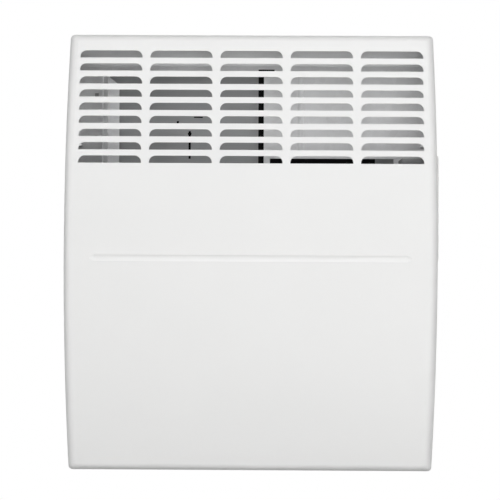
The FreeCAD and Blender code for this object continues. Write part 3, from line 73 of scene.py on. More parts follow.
def new_pattern(name, inputs):
    """An empty shader group for a finish; gives the group, its input and its output node."""
    group = bpy.data.node_groups.new(name, "ShaderNodeTree")
    for label, kind, value in inputs:
        socket = group.interface.new_socket(label, in_out="INPUT", socket_type=kind)
        socket.default_value = value
    outputs = {
        "Colour": "NodeSocketColor",
        "Roughness": "NodeSocketFloat",
        "Height": "NodeSocketFloat",
    }
    for label, kind in outputs.items():
        group.interface.new_socket(label, in_out="OUTPUT", socket_type=kind)
    return group, group.nodes.new("NodeGroupInput"), group.nodes.new("NodeGroupOutput")


def scaled(tree, source, low, high, new_low, new_high):
    """A value moved from one range to another."""
    inputs = {"From Min": low, "From Max": high, "To Min": new_low, "To Max": new_high}
    node = place_node(tree, "ShaderNodeMapRange", inputs)
    tree.links.new(source, node.inputs["Value"])
    return node.outputs["Result"]


def sums(tree, operation, first, second):
    """One step of arithmetic on two values or sockets."""
    node = place_node(tree, "ShaderNodeMath", operation=operation)
    for socket, value in zip(node.inputs, (first, second)):
        if isinstance(value, bpy.types.NodeSocket):
            tree.links.new(value, socket)
        else:
            socket.default_value = value
    return node.outputs[0]


def toned(tree, colour, factor):
    """A colour made lighter or darker by a factor."""
    node = place_node(tree, "ShaderNodeHueSaturation")
    tree.links.new(colour, node.inputs["Color"])
    tree.links.new(factor, node.inputs["Value"])
    return node.outputs["Color"]


def powder_coat_group():
    """Sprayed and baked powder: fine orange peel, a slow drift of tone, a little uneven gloss."""
    group, given, result = new_pattern(
        "powder_coat",
        [
            ("Colour", "NodeSocketColor", (0.8, 0.8, 0.8, 1)),
            ("Gloss Loss", "NodeSocketFloat", 0.4),
            ("Drift", "NodeSocketFloat", 0.03),
            ("Peel Scale", "NodeSocketFloat", 700.0),
        ],
    )
    where = place_node(group, "ShaderNodeTexCoord").outputs["Object"]
    peel = place_node(group, "ShaderNodeTexNoise", {"Detail": 2.0, "Roughness": 0.45})
    drift = place_node(group, "ShaderNodeTexNoise", {"Scale": 7.0, "Detail": 3.0})
    group.links.new(where, peel.inputs["Vector"])
    group.links.new(where, drift.inputs["Vector"])
    group.links.new(given.outputs["Peel Scale"], peel.inputs["Scale"])
    swing = scaled(group, drift.outputs["Fac"], NOISE_LOW, NOISE_HIGH, -1.0, 0.4)
    tone = sums(group, "ADD", 1.0, sums(group, "MULTIPLY", swing, given.outputs["Drift"]))
    gloss_swing = 0.12
    peaks = sums(group, "SUBTRACT", peel.outputs["Fac"], NOISE_MIDDLE)
    uneven = sums(group, "MULTIPLY", peaks, gloss_swing)
    dull = sums(group, "ADD", given.outputs["Gloss Loss"], uneven)
    group.links.new(toned(group, given.outputs["Colour"], tone), result.inputs["Colour"])
    group.links.new(dull, result.inputs["Roughness"])
    group.links.new(peel.outputs["Fac"], result.inputs["Height"])
    return group


def new_finish(name, plain, pattern, inputs, bump_depth, bump_strength):
    """A material: a surface with plain values of its own and a pattern's colour, gloss and bumps.
    The bumps' depth is in metres."""
    material = bpy.data.materials.new(name)
    material.use_nodes = True
    tree = material.node_tree
    surface = tree.nodes["Principled BSDF"]
    for label, value in plain.items():
        surface.inputs[label].default_value = value
    finish = place_node(tree, "ShaderNodeGroup", inputs, node_tree=pattern)
    bumps = place_node(tree, "ShaderNodeBump", {"Strength": bump_strength, "Distance": bump_depth})
    tree.links.new(finish.outputs["Colour"], surface.inputs["Base Color"])
    tree.links.new(finish.outputs["Roughness"], surface.inputs["Roughness"])
    tree.links.new(finish.outputs["Height"], bumps.inputs["Height"])
    tree.links.new(bumps.outputs["Normal"], surface.inputs["Normal"])
    return material


def dress(material, *names):
    """Give CAD nodes their finish."""
    for name in names:
        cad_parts[name].data.materials.clear()
        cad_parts[name].data.materials.append(material)


powder_coat = powder_coat_group()
bracket_coat = new_finish(
    "bracket_coat", {"Specular IOR Level": 0.4},
    powder_coat, {"Colour": (0.385, 0.39, 0.395, 1), "Gloss Loss": 0.5, "Drift": 0.05},
    bump_depth=0.00006, bump_strength=0.5,
)
dress(bracket_coat, "wall_bracket")


# Release catch: a grey nylon moulding that hangs on a plated pin between the bracket's ears.
# Its nose goes through the back of the heater.
def moulded_group():
    """Moulded plastic: the fine spark-eroded grain of its tool, with faint flow marks."""
    group, given, result = new_pattern(
        "moulded",
        [
            ("Colour", "NodeSocketColor", (0.5, 0.5, 0.5, 1)),
            ("Gloss Loss", "NodeSocketFloat", 0.45),
            ("Grain Scale", "NodeSocketFloat", 2600.0),
        ],
    )
    where = place_node(group, "ShaderNodeTexCoord").outputs["Object"]
    grain = place_node(group, "ShaderNodeTexNoise", {"Detail": 3.0, "Roughness": 0.6})
    flow_inputs = {"Scale": 60.0, "Detail": 1.0, "Distortion": 1.2}
    flow = place_node(group, "ShaderNodeTexNoise", flow_inputs)
    group.links.new(where, grain.inputs["Vector"])
    group.links.new(where, flow.inputs["Vector"])
    group.links.new(given.outputs["Grain Scale"], grain.inputs["Scale"])
    tone = scaled(group, flow.outputs["Fac"], NOISE_LOW, NOISE_HIGH, 0.96, 1.03)
    uneven = scaled(group, flow.outputs["Fac"], NOISE_LOW, NOISE_HIGH, -0.05, 0.05)
    dull = sums(group, "ADD", given.outputs["Gloss Loss"], uneven)
    group.links.new(toned(group, given.outputs["Colour"], tone), result.inputs["Colour"])
    group.links.new(dull, result.inputs["Roughness"])
    group.links.new(grain.outputs["Fac"], result.inputs["Height"])
    return group


def worked_metal_group():
    """Rolled or drawn metal: long fine streaks along one axis, clouding and the zinc's spangle."""
    group, given, result = new_pattern(
        "worked_metal",
        [
            ("Colour", "NodeSocketColor", (0.7, 0.7, 0.7, 1)),
            ("Gloss Loss", "NodeSocketFloat", 0.35),
            ("Streaks", "NodeSocketVector", (4.0, 900.0, 900.0)),
            ("Clouding", "NodeSocketFloat", 0.06),
            ("Spangle", "NodeSocketFloat", 0.0),
        ],
    )
    where = place_node(group, "ShaderNodeTexCoord").outputs["Object"]
    stretch = place_node(group, "ShaderNodeVectorMath", operation="MULTIPLY")
    group.links.new(where, stretch.inputs[0])
    group.links.new(given.outputs["Streaks"], stretch.inputs[1])
    streak_inputs = {"Scale": 1.0, "Detail": 4.0, "Roughness": 0.7}
    streak = place_node(group, "ShaderNodeTexNoise", streak_inputs)
    cloud = place_node(group, "ShaderNodeTexNoise", {"Scale": 22.0, "Detail": 4.0})
    crystals = place_node(group, "ShaderNodeTexVoronoi", {"Scale": 130.0, "Randomness": 1.0})
    group.links.new(stretch.outputs[0], streak.inputs["Vector"])
    group.links.new(where, cloud.inputs["Vector"])
    group.links.new(where, crystals.inputs["Vector"])
    each = place_node(group, "ShaderNodeSeparateColor")
    group.links.new(crystals.outputs["Color"], each.inputs["Color"])
    shine = scaled(group, each.outputs["Red"], 0.0, 1.0, -1.0, 1.0)
    facet = sums(group, "MULTIPLY", shine, given.outputs["Spangle"])
    swing = scaled(group, cloud.outputs["Fac"], NOISE_LOW, NOISE_HIGH, -1.0, 0.6)
    clouded = sums(group, "ADD", 1.0, sums(group, "MULTIPLY", swing, given.outputs["Clouding"]))
    tone = sums(group, "ADD", clouded, facet)
    streaked = scaled(group, streak.outputs["Fac"], NOISE_LOW, NOISE_HIGH, -0.07, 0.09)
    uneven = sums(group, "ADD", streaked, facet)
    dull = sums(group, "ADD", given.outputs["Gloss Loss"], uneven)
    group.links.new(toned(group, given.outputs["Colour"], tone), result.inputs["Colour"])
    group.links.new(dull, result.inputs["Roughness"])
    group.links.new(streak.outputs["Fac"], result.inputs["Height"])
    return group


moulded = moulded_group()
catch_nylon = new_finish(
    "catch_nylon", {"Specular IOR Level": 0.45},
    moulded, {"Colour": (0.17, 0.172, 0.178, 1), "Gloss Loss": 0.52},
    bump_depth=0.00004, bump_strength=0.5,
)
dress(catch_nylon, "release_catch")
worked_metal = worked_metal_group()
zinc_plate = new_finish(
    "zinc_plate", {"Metallic": 1.0},
    worked_metal, {"Colour": (0.62, 0.63, 0.64, 1), "Gloss Loss": 0.32},
    bump_depth=0.00001, bump_strength=0.35,
)
dress(zinc_plate, "catch_pin")

# Rear panel and air guides: zinc-coated sheet steel, cut and folded, pale with a faint spangle.
# The panel is a tray in the casing's back edge, and the guides are riveted or tabbed to it.
ZINC_COATING = {"Streaks": (260.0, 260.0, 9.0), "Clouding": 0.035, "Spangle": 0.03}
zinc_sheet = new_finish(
    "zinc_sheet", {"Metallic": 0.12, "Specular IOR Level": 0.4},
    worked_metal, {"Colour": (0.765, 0.77, 0.775, 1), "Gloss Loss": 0.5, **ZINC_COATING},
    bump_depth=0.00002, bump_strength=0.25,
)
dress(zinc_sheet, "rear_panel", "left_duct", "element_bracket", "front_shield")

# Control housing: a folded box of galvanised sheet at the right end of the panel.
# It shields the thermostat and the switch from the duct's heat, and is fixed to the panel.
# Painted shade: the panel's zinc coloured about a third as bright, for the shadow the housing sits
# in.
shade_painted_zinc = new_finish(
    "shade_painted_zinc", {"Metallic": 0.12, "Specular IOR Level": 0.35},
    worked_metal, {"Colour": (0.26, 0.262, 0.265, 1), "Gloss Loss": 0.55, **ZINC_COATING},
    bump_depth=0.00002, bump_strength=0.25,
)
dress(shade_painted_zinc, "control_housing")

# Air deflector: a rolled strip of sheet steel below the casing's top.
# It turns the warm air to the outlet, and its tabs go through the rear panel.
DEFLECTOR_ROLLING = {"Streaks": (6.0, 420.0, 420.0), "Clouding": 0.04}
# Painted light: the panel's sheet coloured lighter, for the light that falls on the deflector
# through the top slots.
sheet_with_painted_light = new_finish(
    "sheet_with_painted_light", {"Metallic": 0.25},
    worked_metal, {"Colour": (0.88, 0.885, 0.89, 1), "Gloss Loss": 0.42, **DEFLECTOR_ROLLING},
    bump_depth=0.00002, bump_strength=0.3,
)
dress(sheet_with_painted_light, "air_deflector")

# Rivets: blind aluminium rivets with low domed heads and the stub of the pulled mandrel.
# Two hold the left duct wall and two the element bracket.
MM = 0.001
SAME_POINT = 1e-7
SHARP_EDGE = math.radians(35)


def clean(shape):
    """Joins a shape's doubled points and turns its faces outwards."""
    bmesh.ops.remove_doubles(shape, verts=shape.verts, dist=SAME_POINT)
    bmesh.ops.recalc_face_normals(shape, faces=shape.faces)


def turned(profile, steps=36):
    """A mesh turned about its own Z axis from radius and height pairs in millimetres."""
    shape = bmesh.new()
    points = [shape.verts.new((radius * MM, 0, height * MM)) for radius, height in profile]
    edges = [shape.edges.new(pair) for pair in zip(points, points[1:])]
    bmesh.ops.spin(shape, geom=points + edges, cent=(0, 0, 0), axis=(0, 0, 1), angle=math.tau,
                   steps=steps, use_merge=True)
    clean(shape)
    mesh = bpy.data.meshes.new("turned")
    shape.to_mesh(mesh)
    shape.free()
    return mesh


def facing(direction, where):
    """A placement that points a shape's own Z axis along a direction."""
    turn = Vector(direction).to_track_quat("Z", "Y").to_matrix().to_4x4()
    return Matrix.Translation(Vector(where)) @ turn


def copies(mesh, placements):
    """One shape that holds a copy of a mesh at each placement."""
    shape = bmesh.new()
    for placement in placements:
        part = mesh.copy()
        part.transform(placement)
        shape.from_mesh(part)
        bpy.data.meshes.remove(part)
    return shape


def new_piece(name, shape, material, body):
    """A piece from a shape, with its finish, riding on a body."""
    clean(shape)
    mesh = bpy.data.meshes.new(name)
    shape.to_mesh(mesh)
    shape.free()
    mesh.materials.append(material)
    piece = bpy.data.objects.new(name, mesh)
    bpy.context.scene.collection.objects.link(piece)
    mesh.polygons.foreach_set("use_smooth", [True] * len(mesh.polygons))
    mesh.set_sharp_from_angle(angle=SHARP_EDGE)
    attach(piece, body)
    return piece


RIVET_HEAD_RADIUS, RIVETED_SHEET = 0.003, 0.001
LEFT_LOWER_RIVET_Z, RIGHT_UPPER_RIVET_Z = -0.140, -0.0715
rivet = turned([
    (0, 1.5), (0.55, 1.45), (0.6, 1.15), (1.0, 1.2), (1.9, 1.0), (2.6, 0.6), (3.0, 0.1),
    (3.0, 0), (1.6, 0), (1.6, -2.0), (2.2, -2.1), (2.4, -2.7), (1.9, -3.1), (0, -3.2),
])
rivet_low, rivet_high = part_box("duct_rivets")
rivet_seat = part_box("left_duct")[1].y - RIVETED_SHEET
left_rivets = rivet_low.x + RIVET_HEAD_RADIUS
right_rivets = rivet_high.x - RIVET_HEAD_RADIUS
rivet_places = [
    (left_rivets, rivet_seat, rivet_high.z - RIVET_HEAD_RADIUS),
    (left_rivets, rivet_seat, LEFT_LOWER_RIVET_Z),
    (right_rivets, rivet_seat, RIGHT_UPPER_RIVET_Z),
    (right_rivets, rivet_seat, rivet_low.z + RIVET_HEAD_RADIUS),
]
rivet_aluminium = new_finish(
    "rivet_aluminium", {"Metallic": 1.0},
    worked_metal,
    {"Colour": (0.70, 0.70, 0.71, 1), "Gloss Loss": 0.42, "Streaks": (300.0, 300.0, 300.0)},
    bump_depth=0.00001, bump_strength=0.3,
)
rivets = copies(rivet, [facing((0, -1, 0), place) for place in rivet_places])
rivet_set = new_piece("duct_rivet_set", rivets, rivet_aluminium, "heater")
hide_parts("duct_rivets")

# Heating element: an extruded aluminium diffuser on a steel-sheathed rod.
# Ceramic bushes carry the rod in the duct walls, and brass blades take the wires.
EXTRUDING = {"Streaks": (3.0, 700.0, 700.0), "Clouding": 0.09}
extrusion = new_finish(
    "element_extrusion", {"Metallic": 1.0},
    worked_metal, {"Colour": (0.66, 0.665, 0.67, 1), "Gloss Loss": 0.36, **EXTRUDING},
    bump_depth=0.00002, bump_strength=0.4,
)
dress(extrusion, "element_diffuser")
DRAWING = {"Streaks": (5.0, 900.0, 900.0), "Clouding": 0.16}
sheath = new_finish(
    "rod_sheath", {"Metallic": 1.0},
    worked_metal, {"Colour": (0.38, 0.35, 0.32, 1), "Gloss Loss": 0.4, **DRAWING},
    bump_depth=0.00001, bump_strength=0.3,
)
dress(sheath, "element_rod", "thermostat_shaft")
steatite = new_finish(
    "steatite", {"Specular IOR Level": 0.5},
    moulded, {"Colour": (0.80, 0.77, 0.70, 1), "Gloss Loss": 0.55, "Grain Scale": 1500.0},
    bump_depth=0.00006, bump_strength=0.4,
)
dress(steatite, "element_bushes")
brass = new_finish(
    "blade_brass", {"Metallic": 1.0},
    worked_metal, {"Colour": (0.72, 0.56, 0.27, 1), "Gloss Loss": 0.33, "Clouding": 0.1},
    bump_depth=0.00001, bump_strength=0.3,
)
dress(brass, "element_terminals", "terminal_screws", "earth_stud", "earth_nut")

# Thermal cut-out and thermostat body: black phenolic mouldings.
# The cut-out sits on the element bracket, and the thermostat is screwed behind the control panel.
phenolic = new_finish(
    "phenolic", {"Specular IOR Level": 0.5},
    moulded, {"Colour": (0.030, 0.029, 0.029, 1), "Gloss Loss": 0.4},
    bump_depth=0.00005, bump_strength=0.5,
)
dress(phenolic, "thermal_cutout", "thermostat_body")
dress(zinc_plate, "thermostat_screws")

# Terminal block, wire clips and cord gland: nylon mouldings on the rear panel.
# The gland's ring nut is inside, and its split collet shows in the bore from behind.
FINGER_SLOPE, FINGER_TIP_WIDTH = 0.002, 0.4


def knurled(mesh, inside, depth, every, steps):
    """Flutes round the outermost part of a turned mesh, one at each few of its steps."""
    for vertex in mesh.vertices:
        radius = vertex.co.xy.length
        step = round(math.atan2(vertex.co.y, vertex.co.x) / math.tau * steps)
        if radius > inside and step % every == 0:
            vertex.co.xy *= 1 - depth / radius


def gripping_fingers(shape, count, outer, inner, half_width, low, high):
    """Tapered fingers round a bore that hold what passes through it."""
    outline = [
        (inner, low + FINGER_SLOPE, FINGER_TIP_WIDTH),
        (inner, high - FINGER_SLOPE, FINGER_TIP_WIDTH),
        (outer, high, 1.0),
        (outer, low, 1.0),
    ]
    for finger in range(count):
        turn = Matrix.Rotation(math.tau * finger / count, 4, "Z")
        left, right = [
            [shape.verts.new(turn @ Vector((reach, side * share, height)))
             for reach, height, share in outline]
            for side in (-half_width, half_width)
        ]
        shape.faces.new(left)
        shape.faces.new(right[::-1])
        for corner in range(len(outline)):
            following = (corner + 1) % len(outline)
            shape.faces.new((left[following], left[corner], right[corner], right[following]))


pale_nylon = new_finish(
    "pale_nylon", {"Subsurface Weight": 0.05},
    moulded, {"Colour": (0.74, 0.73, 0.69, 1), "Gloss Loss": 0.46},
    bump_depth=0.00004, bump_strength=0.4,
)
dress(pale_nylon, "terminal_block", "wire_clips")
gland_nylon = new_finish(
    "gland_nylon", {"Specular IOR Level": 0.45},
    moulded, {"Colour": (0.21, 0.212, 0.218, 1), "Gloss Loss": 0.5},
    bump_depth=0.00005, bump_strength=0.5,
)
dress(gland_nylon, "gland_nut")
GLAND_STEPS, GLAND_RIM_HEIGHT = 96, 0.003
gland = turned([
    (4.0, -9.0), (4.0, 1.7), (4.5, 2.6), (5.3, 3.0), (9.4, 3.0), (10.4, 2.7), (10.9, 2.1),
    (11.0, 1.4), (11.0, 0.3), (10.8, 0), (8.0, 0), (8.0, -9.0), (4.0, -9.0),
], GLAND_STEPS)
knurled(gland, inside=0.0107, depth=0.0005, every=4, steps=GLAND_STEPS)
gland_low, gland_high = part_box("cable_gland")
gland_middle = (gland_low + gland_high) / 2
gland_seat = (gland_middle.x, gland_high.y - GLAND_RIM_HEIGHT, gland_middle.z)
gland_shape = bmesh.new()
gland_shape.from_mesh(gland)
gripping_fingers(gland_shape, count=8, outer=0.0042, inner=0.0031, half_width=0.0009,
                 low=-0.0080, high=0.0012)
gland_shape.transform(facing((0, 1, 0), gland_seat))
gland_body = new_piece("gland_body", gland_shape, gland_nylon, "heater")
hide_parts("cable_gland")


# Wires: copper conductors in heat-resistant insulation, brown, blue and green.
# They run from the terminal block to the switch, thermostat, cut-out and element.
def insulation(name, colour):
    """Extruded insulation with a faint waxy bloom."""
    return new_finish(
        name, {"Specular IOR Level": 0.4, "Sheen Weight": 0.08},
        moulded, {"Colour": colour, "Gloss Loss": 0.48, "Grain Scale": 1200.0},
        bump_depth=0.00003, bump_strength=0.3,
    )


brown_insulation = insulation("brown_insulation", (0.16, 0.065, 0.03, 1))
dress(brown_insulation, "live_wire", "switch_wire", "cutout_wire", "element_wire")
dress(insulation("blue_insulation", (0.04, 0.11, 0.36, 1)), "neutral_wire")
dress(insulation("green_insulation", (0.11, 0.33, 0.07, 1)), "earth_wire")

# Casing: one pressed shell of sheet steel, powder coated white in and out.
# Its front is bowed and slotted, and it slides over the rear panel's flanges.
WHITE_POWDER = {"Drift": 0.012, "Peel Scale": 650.0}
white_coat = new_finish(
    "white_coat", {"Specular IOR Level": 0.28, "Coat Weight": 0.04, "Coat Roughness": 0.3},
    powder_coat, {"Colour": (0.84, 0.84, 0.835, 1), "Gloss Loss": 0.42, **WHITE_POWDER},
    bump_depth=0.00005, bump_strength=0.35,
)
dress(white_coat, "front_casing")

# Casing screws: plated pan-head screws with a cross recess, two below and two in each side.
# They go through the casing into the rear panel's flanges.
PUNCH_TIP, PUNCH_ROOT = 0.72, 1.06


def shown_mesh(thing):
    """The mesh that an object gives with its modifiers or its curve's depth."""
    depsgraph = bpy.context.evaluated_depsgraph_get()
    return bpy.data.meshes.new_from_object(thing.evaluated_get(depsgraph))


def cross_recess(mesh, reach, width, depth, top):
    """The mesh with a tapered cross pressed into its top."""
    cutter = bmesh.new()
    for turn in (0, math.pi / 2):
        bar = bmesh.ops.create_cube(cutter, size=1.0)["verts"]
        for vertex in bar:
            across, along, height = vertex.co
            taper = PUNCH_TIP if height < 0 else PUNCH_ROOT
            vertex.co.x = across * 2 * reach * taper
            vertex.co.y = along * width * taper
            vertex.co.z = top + height * 2 * depth
        bmesh.ops.rotate(cutter, verts=bar, cent=(0, 0, 0), matrix=Matrix.Rotation(turn, 3, "Z"))
    tool_mesh = bpy.data.meshes.new("cross_punch")
    cutter.to_mesh(tool_mesh)
    cutter.free()
    head = bpy.data.objects.new("cross_head", mesh)
    tool = bpy.data.objects.new("cross_tool", tool_mesh)
    for thing in (head, tool):
        bpy.context.scene.collection.objects.link(thing)
    press = head.modifiers.new("press", "BOOLEAN")
    press.object = tool
    press.use_self = True
    pressed = shown_mesh(head)
    bpy.data.objects.remove(head)
    bpy.data.objects.remove(tool)
    return pressed


SCREW_HEAD, SIDE_SCREW_REACH, LOWER_SCREW_REACH = 0.0022, 0.111, 0.120
pan_head = turned([
    (0, 2.2), (1.4, 2.15), (2.5, 1.9), (3.2, 1.35), (3.5, 0.6), (3.5, 0.05), (3.45, 0),
    (1.75, 0), (1.75, -9.0), (0.6, -11.0), (0, -11.0),
])
screw = cross_recess(pan_head, reach=0.0019, width=0.0011, depth=0.0013, top=SCREW_HEAD)
screw_low, screw_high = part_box("casing_screws")
screw_y = (screw_low.y + screw_high.y) / 2
side_seat = screw_high.x - SCREW_HEAD
lower_seat = cad_low.z + SCREW_HEAD
screw_places = [
    facing((side, 0, 0), (side * side_seat, screw_y, height))
    for side in (-1, 1)
    for height in (-SIDE_SCREW_REACH, SIDE_SCREW_REACH)
]
screw_places += [
    facing((0, 0, -1), (across, screw_y, lower_seat))
    for across in (-LOWER_SCREW_REACH, LOWER_SCREW_REACH)
]
screws = copies(screw, screw_places)
screw_set = new_piece("casing_screw_set", screws, zinc_plate, "heater")
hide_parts("casing_screws")

# Control panel: a white satin moulding with a recess, snapped into the casing's right side.
# Its floor carries a printed dial with generic settings round the knob.
panel_plastic = new_finish(
    "panel_plastic", {"Specular IOR Level": 0.45, "Subsurface Weight": 0.03},
    moulded, {"Colour": (0.76, 0.76, 0.75, 1), "Gloss Loss": 0.44},
    bump_depth=0.00004, bump_strength=0.4,
)
dress(panel_plastic, "control_panel")
printed_grey = new_finish(
    "printed_grey", {"Specular IOR Level": 0.3},
    moulded, {"Colour": (0.10, 0.105, 0.11, 1), "Gloss Loss": 0.6},
    bump_depth=0.00001, bump_strength=0.2,
)
SWITCH_BEZEL = 0.0016
PRINT_HEIGHT = 0.00006
CORNER_CUT = 0.35
knob_low, knob_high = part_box("thermostat_knob")
knob_middle = (knob_low + knob_high) / 2
recess_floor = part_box("switch_body")[1].x - SWITCH_BEZEL


def on_side(y, z, x):
    """A placement on the right side: a shape's own X goes to the wall, its Y up, its Z outwards."""
    columns = Matrix(((0, 0, 1), (1, 0, 0), (0, 1, 0))).to_4x4()
    return Matrix.Translation((x, y, z)) @ columns


def lettering(shape, text, size, placement):
    """Adds a short printed mark, centred on its placement."""
    words = bpy.data.curves.new("mark", "FONT")
    words.body = text
    words.size = size
    words.extrude = PRINT_HEIGHT
    words.align_x = "CENTER"
    words.align_y = "CENTER"
    thing = bpy.data.objects.new("mark", words)
    bpy.context.scene.collection.objects.link(thing)
    mesh = shown_mesh(thing)
    bpy.data.objects.remove(thing)
    mesh.transform(placement)
    shape.from_mesh(mesh)
    bpy.data.meshes.remove(mesh)


def printed_bar(shape, length, width, placement):
    """Adds a thin printed bar with its corners cut."""
    end, side, cut = length / 2, width / 2, width * CORNER_CUT
    outline = [
        (-end, -side + cut), (-end, side - cut), (-end + cut, side), (end - cut, side),
        (end, side - cut), (end, -side + cut), (end - cut, -side), (-end + cut, -side),
    ]
    below, above = [
        [shape.verts.new(placement @ Vector((x, y, z))) for x, y in outline]
        for z in (-PRINT_HEIGHT, PRINT_HEIGHT)
    ]
    shape.faces.new(below)
    shape.faces.new(above[::-1])
    for corner in range(len(outline)):
        following = (corner + 1) % len(outline)
        shape.faces.new((below[corner], below[following], above[following], above[corner]))


SETTINGS, FIRST_SETTING, HALF_SETTING = 6, -135, 27
LONG_TICK, SHORT_TICK, TICK_WIDTH, TICK_START = 0.0022, 0.0013, 0.0004, 0.0161
NUMBER_SIZE, NUMBER_REACH = 0.0030, 0.0200
dial = bmesh.new()
dial_middle = on_side(knob_middle.y, knob_middle.z, recess_floor)
for step in range(2 * SETTINGS - 1):
    angle = math.radians(FIRST_SETTING + HALF_SETTING * step)
    outwards = Matrix.Rotation(math.pi / 2 - angle, 4, "Z")
    length = LONG_TICK if step % 2 == 0 else SHORT_TICK
    start = Matrix.Translation((TICK_START + length / 2, 0, 0))
    printed_bar(dial, length, TICK_WIDTH, dial_middle @ outwards @ start)
for number in range(1, SETTINGS + 1):
    angle = math.radians(FIRST_SETTING + 2 * HALF_SETTING * (number - 1))
    number_y = knob_middle.y + math.sin(angle) * NUMBER_REACH
    number_z = knob_middle.z + math.cos(angle) * NUMBER_REACH
    lettering(dial, str(number), NUMBER_SIZE, on_side(number_y, number_z, recess_floor))
new_piece("dial_print", dial, printed_grey, "heater")

# Thermostat knob: a semi-gloss moulding pressed on the shaft, with a fluted rim.
# Red paint fills its pointer groove.
knob_plastic = new_finish(
    "knob_plastic", {"Specular IOR Level": 0.5, "Coat Weight": 0.15},
    moulded, {"Colour": (0.60, 0.60, 0.595, 1), "Gloss Loss": 0.34},
    bump_depth=0.00003, bump_strength=0.3,
)
dress(knob_plastic, "thermostat_knob")
pointer_paint = new_finish(
    "pointer_paint", {"Specular IOR Level": 0.4},
    moulded, {"Colour": (0.55, 0.08, 0.045, 1), "Gloss Loss": 0.45},
    bump_depth=0.00002, bump_strength=0.3,
)
POINTER_LENGTH, POINTER_WIDTH, POINTER_REACH, POINTER_DEPTH = 0.0077, 0.00115, 0.0089, 0.00052
pointer = bmesh.new()
pointer_seat = on_side(knob_middle.y, knob_middle.z, knob_high.x - POINTER_DEPTH)
pointer_turn = Matrix.Rotation(math.pi / 2 - math.radians(FIRST_SETTING), 4, "Z")
pointer_shift = Matrix.Translation((POINTER_REACH, 0, 0))
pointer_place = pointer_seat @ pointer_turn @ pointer_shift
printed_bar(pointer, POINTER_LENGTH, POINTER_WIDTH, pointer_place)
new_piece("pointer_fill", pointer, pointer_paint, "thermostat_knob")

# Switch: a dark grey rocker in a black bezel, snapped into the recess floor on its own springs.
# The rocker turns on a steel pin and has generic on and off marks.
switch_nylon = new_finish(
    "switch_nylon", {"Specular IOR Level": 0.5},
    moulded, {"Colour": (0.022, 0.022, 0.024, 1), "Gloss Loss": 0.36},
    bump_depth=0.00004, bump_strength=0.4,
)
dress(switch_nylon, "switch_body")
dress(zinc_plate, "switch_pivot")
rocker_nylon = new_finish(
    "rocker_nylon", {"Specular IOR Level": 0.5, "Coat Weight": 0.1},
    moulded, {"Colour": (0.045, 0.046, 0.05, 1), "Gloss Loss": 0.3},
    bump_depth=0.00003, bump_strength=0.3,
)
dress(rocker_nylon, "switch_rocker")


def seat_on(node, origin, direction):
    """A placement on a CAD node's face where a straight line meets it."""
    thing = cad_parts[node]
    near = thing.matrix_world.inverted()
    start, line = near @ Vector(origin), near.to_3x3() @ Vector(direction)
    depsgraph = bpy.context.evaluated_depsgraph_get()
    _, where, normal, _ = thing.ray_cast(start, line, depsgraph=depsgraph)
    return facing(thing.matrix_world.to_3x3() @ normal, thing.matrix_world @ where)


mark_white = new_finish(
    "mark_white", {"Specular IOR Level": 0.35},
    moulded, {"Colour": (0.72, 0.72, 0.71, 1), "Gloss Loss": 0.55},
    bump_depth=0.00001, bump_strength=0.2,
)
MARK_SIZE, MARK_REACH, OUTSIDE_X = 0.0042, 0.0042, 0.3
rocker_low, rocker_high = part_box("switch_rocker")
rocker_middle = (rocker_low + rocker_high) / 2
marks = bmesh.new()
for mark, height in (("I", MARK_REACH), ("O", -MARK_REACH)):
    outside = (OUTSIDE_X, rocker_middle.y, rocker_middle.z + height)
    lettering(marks, mark, MARK_SIZE, seat_on("switch_rocker", outside, (-1, 0, 0)))
new_piece("rocker_marks", marks, mark_white, "switch_rocker")

# Pilot light: a clear amber lens with a low dome, pushed into the recess floor.
# A neon lamp behind it is off.
amber_lens = new_finish(
    "amber_lens", {"Transmission Weight": 0.4, "IOR": 1.49, "Coat Weight": 0.3},
    moulded, {"Colour": (0.92, 0.19, 0.008, 1), "Gloss Loss": 0.14},
    bump_depth=0.00001, bump_strength=0.2,
)
dress(amber_lens, "pilot_lens")

# Stage: a white studio wall and a pale floor, seen from their room side only.
# The wall is white to the eye and in gloss, dark where the heater shades it, and passes light.
ROOM_REACH, WALL_TOP, FLOOR_Z, WALL_GAP = 6, 3.5, -0.6, 0.0005
SHADED_HALF_WIDTH, SHADED_HALF_HEIGHT, SHADE_EDGE = 0.165, 0.200, 0.018
FLOOR_BRIGHTNESS, FLOOR_LIFT = 0.96, 0.75


def flat_sheet(name, corners, material):
    """A one-sided backdrop."""
    mesh = bpy.data.meshes.new(name)
    mesh.from_pydata(corners, [], [(0, 1, 2, 3)])
    mesh.materials.append(material)
    sheet = bpy.data.objects.new(name, mesh)
    bpy.context.scene.collection.objects.link(sheet)


def seen_directly(tree):
    """1 where the camera sees a surface itself, in gloss or through glass."""
    path = place_node(tree, "ShaderNodeLightPath")
    seen = sums(tree, "MAXIMUM", path.outputs["Is Camera Ray"], path.outputs["Is Glossy Ray"])
    return sums(tree, "MAXIMUM", seen, path.outputs["Is Transmission Ray"])


def mixed(tree, factor, first, second):
    """Two shaders mixed by a socket."""
    mix = place_node(tree, "ShaderNodeMixShader")
    tree.links.new(factor, mix.inputs["Fac"])
    tree.links.new(first, mix.inputs[1])
    tree.links.new(second, mix.inputs[2])
    return mix.outputs[0]


def stage_paint(name):
    """A material with no surface yet; gives it, its nodes, a clear shader and its back's mask."""
    material = bpy.data.materials.new(name)
    material.use_nodes = True
    tree = material.node_tree
    tree.nodes.remove(tree.nodes["Principled BSDF"])
    clear = place_node(tree, "ShaderNodeBsdfTransparent").outputs[0]
    behind = place_node(tree, "ShaderNodeNewGeometry").outputs["Backfacing"]
    return material, tree, clear, behind


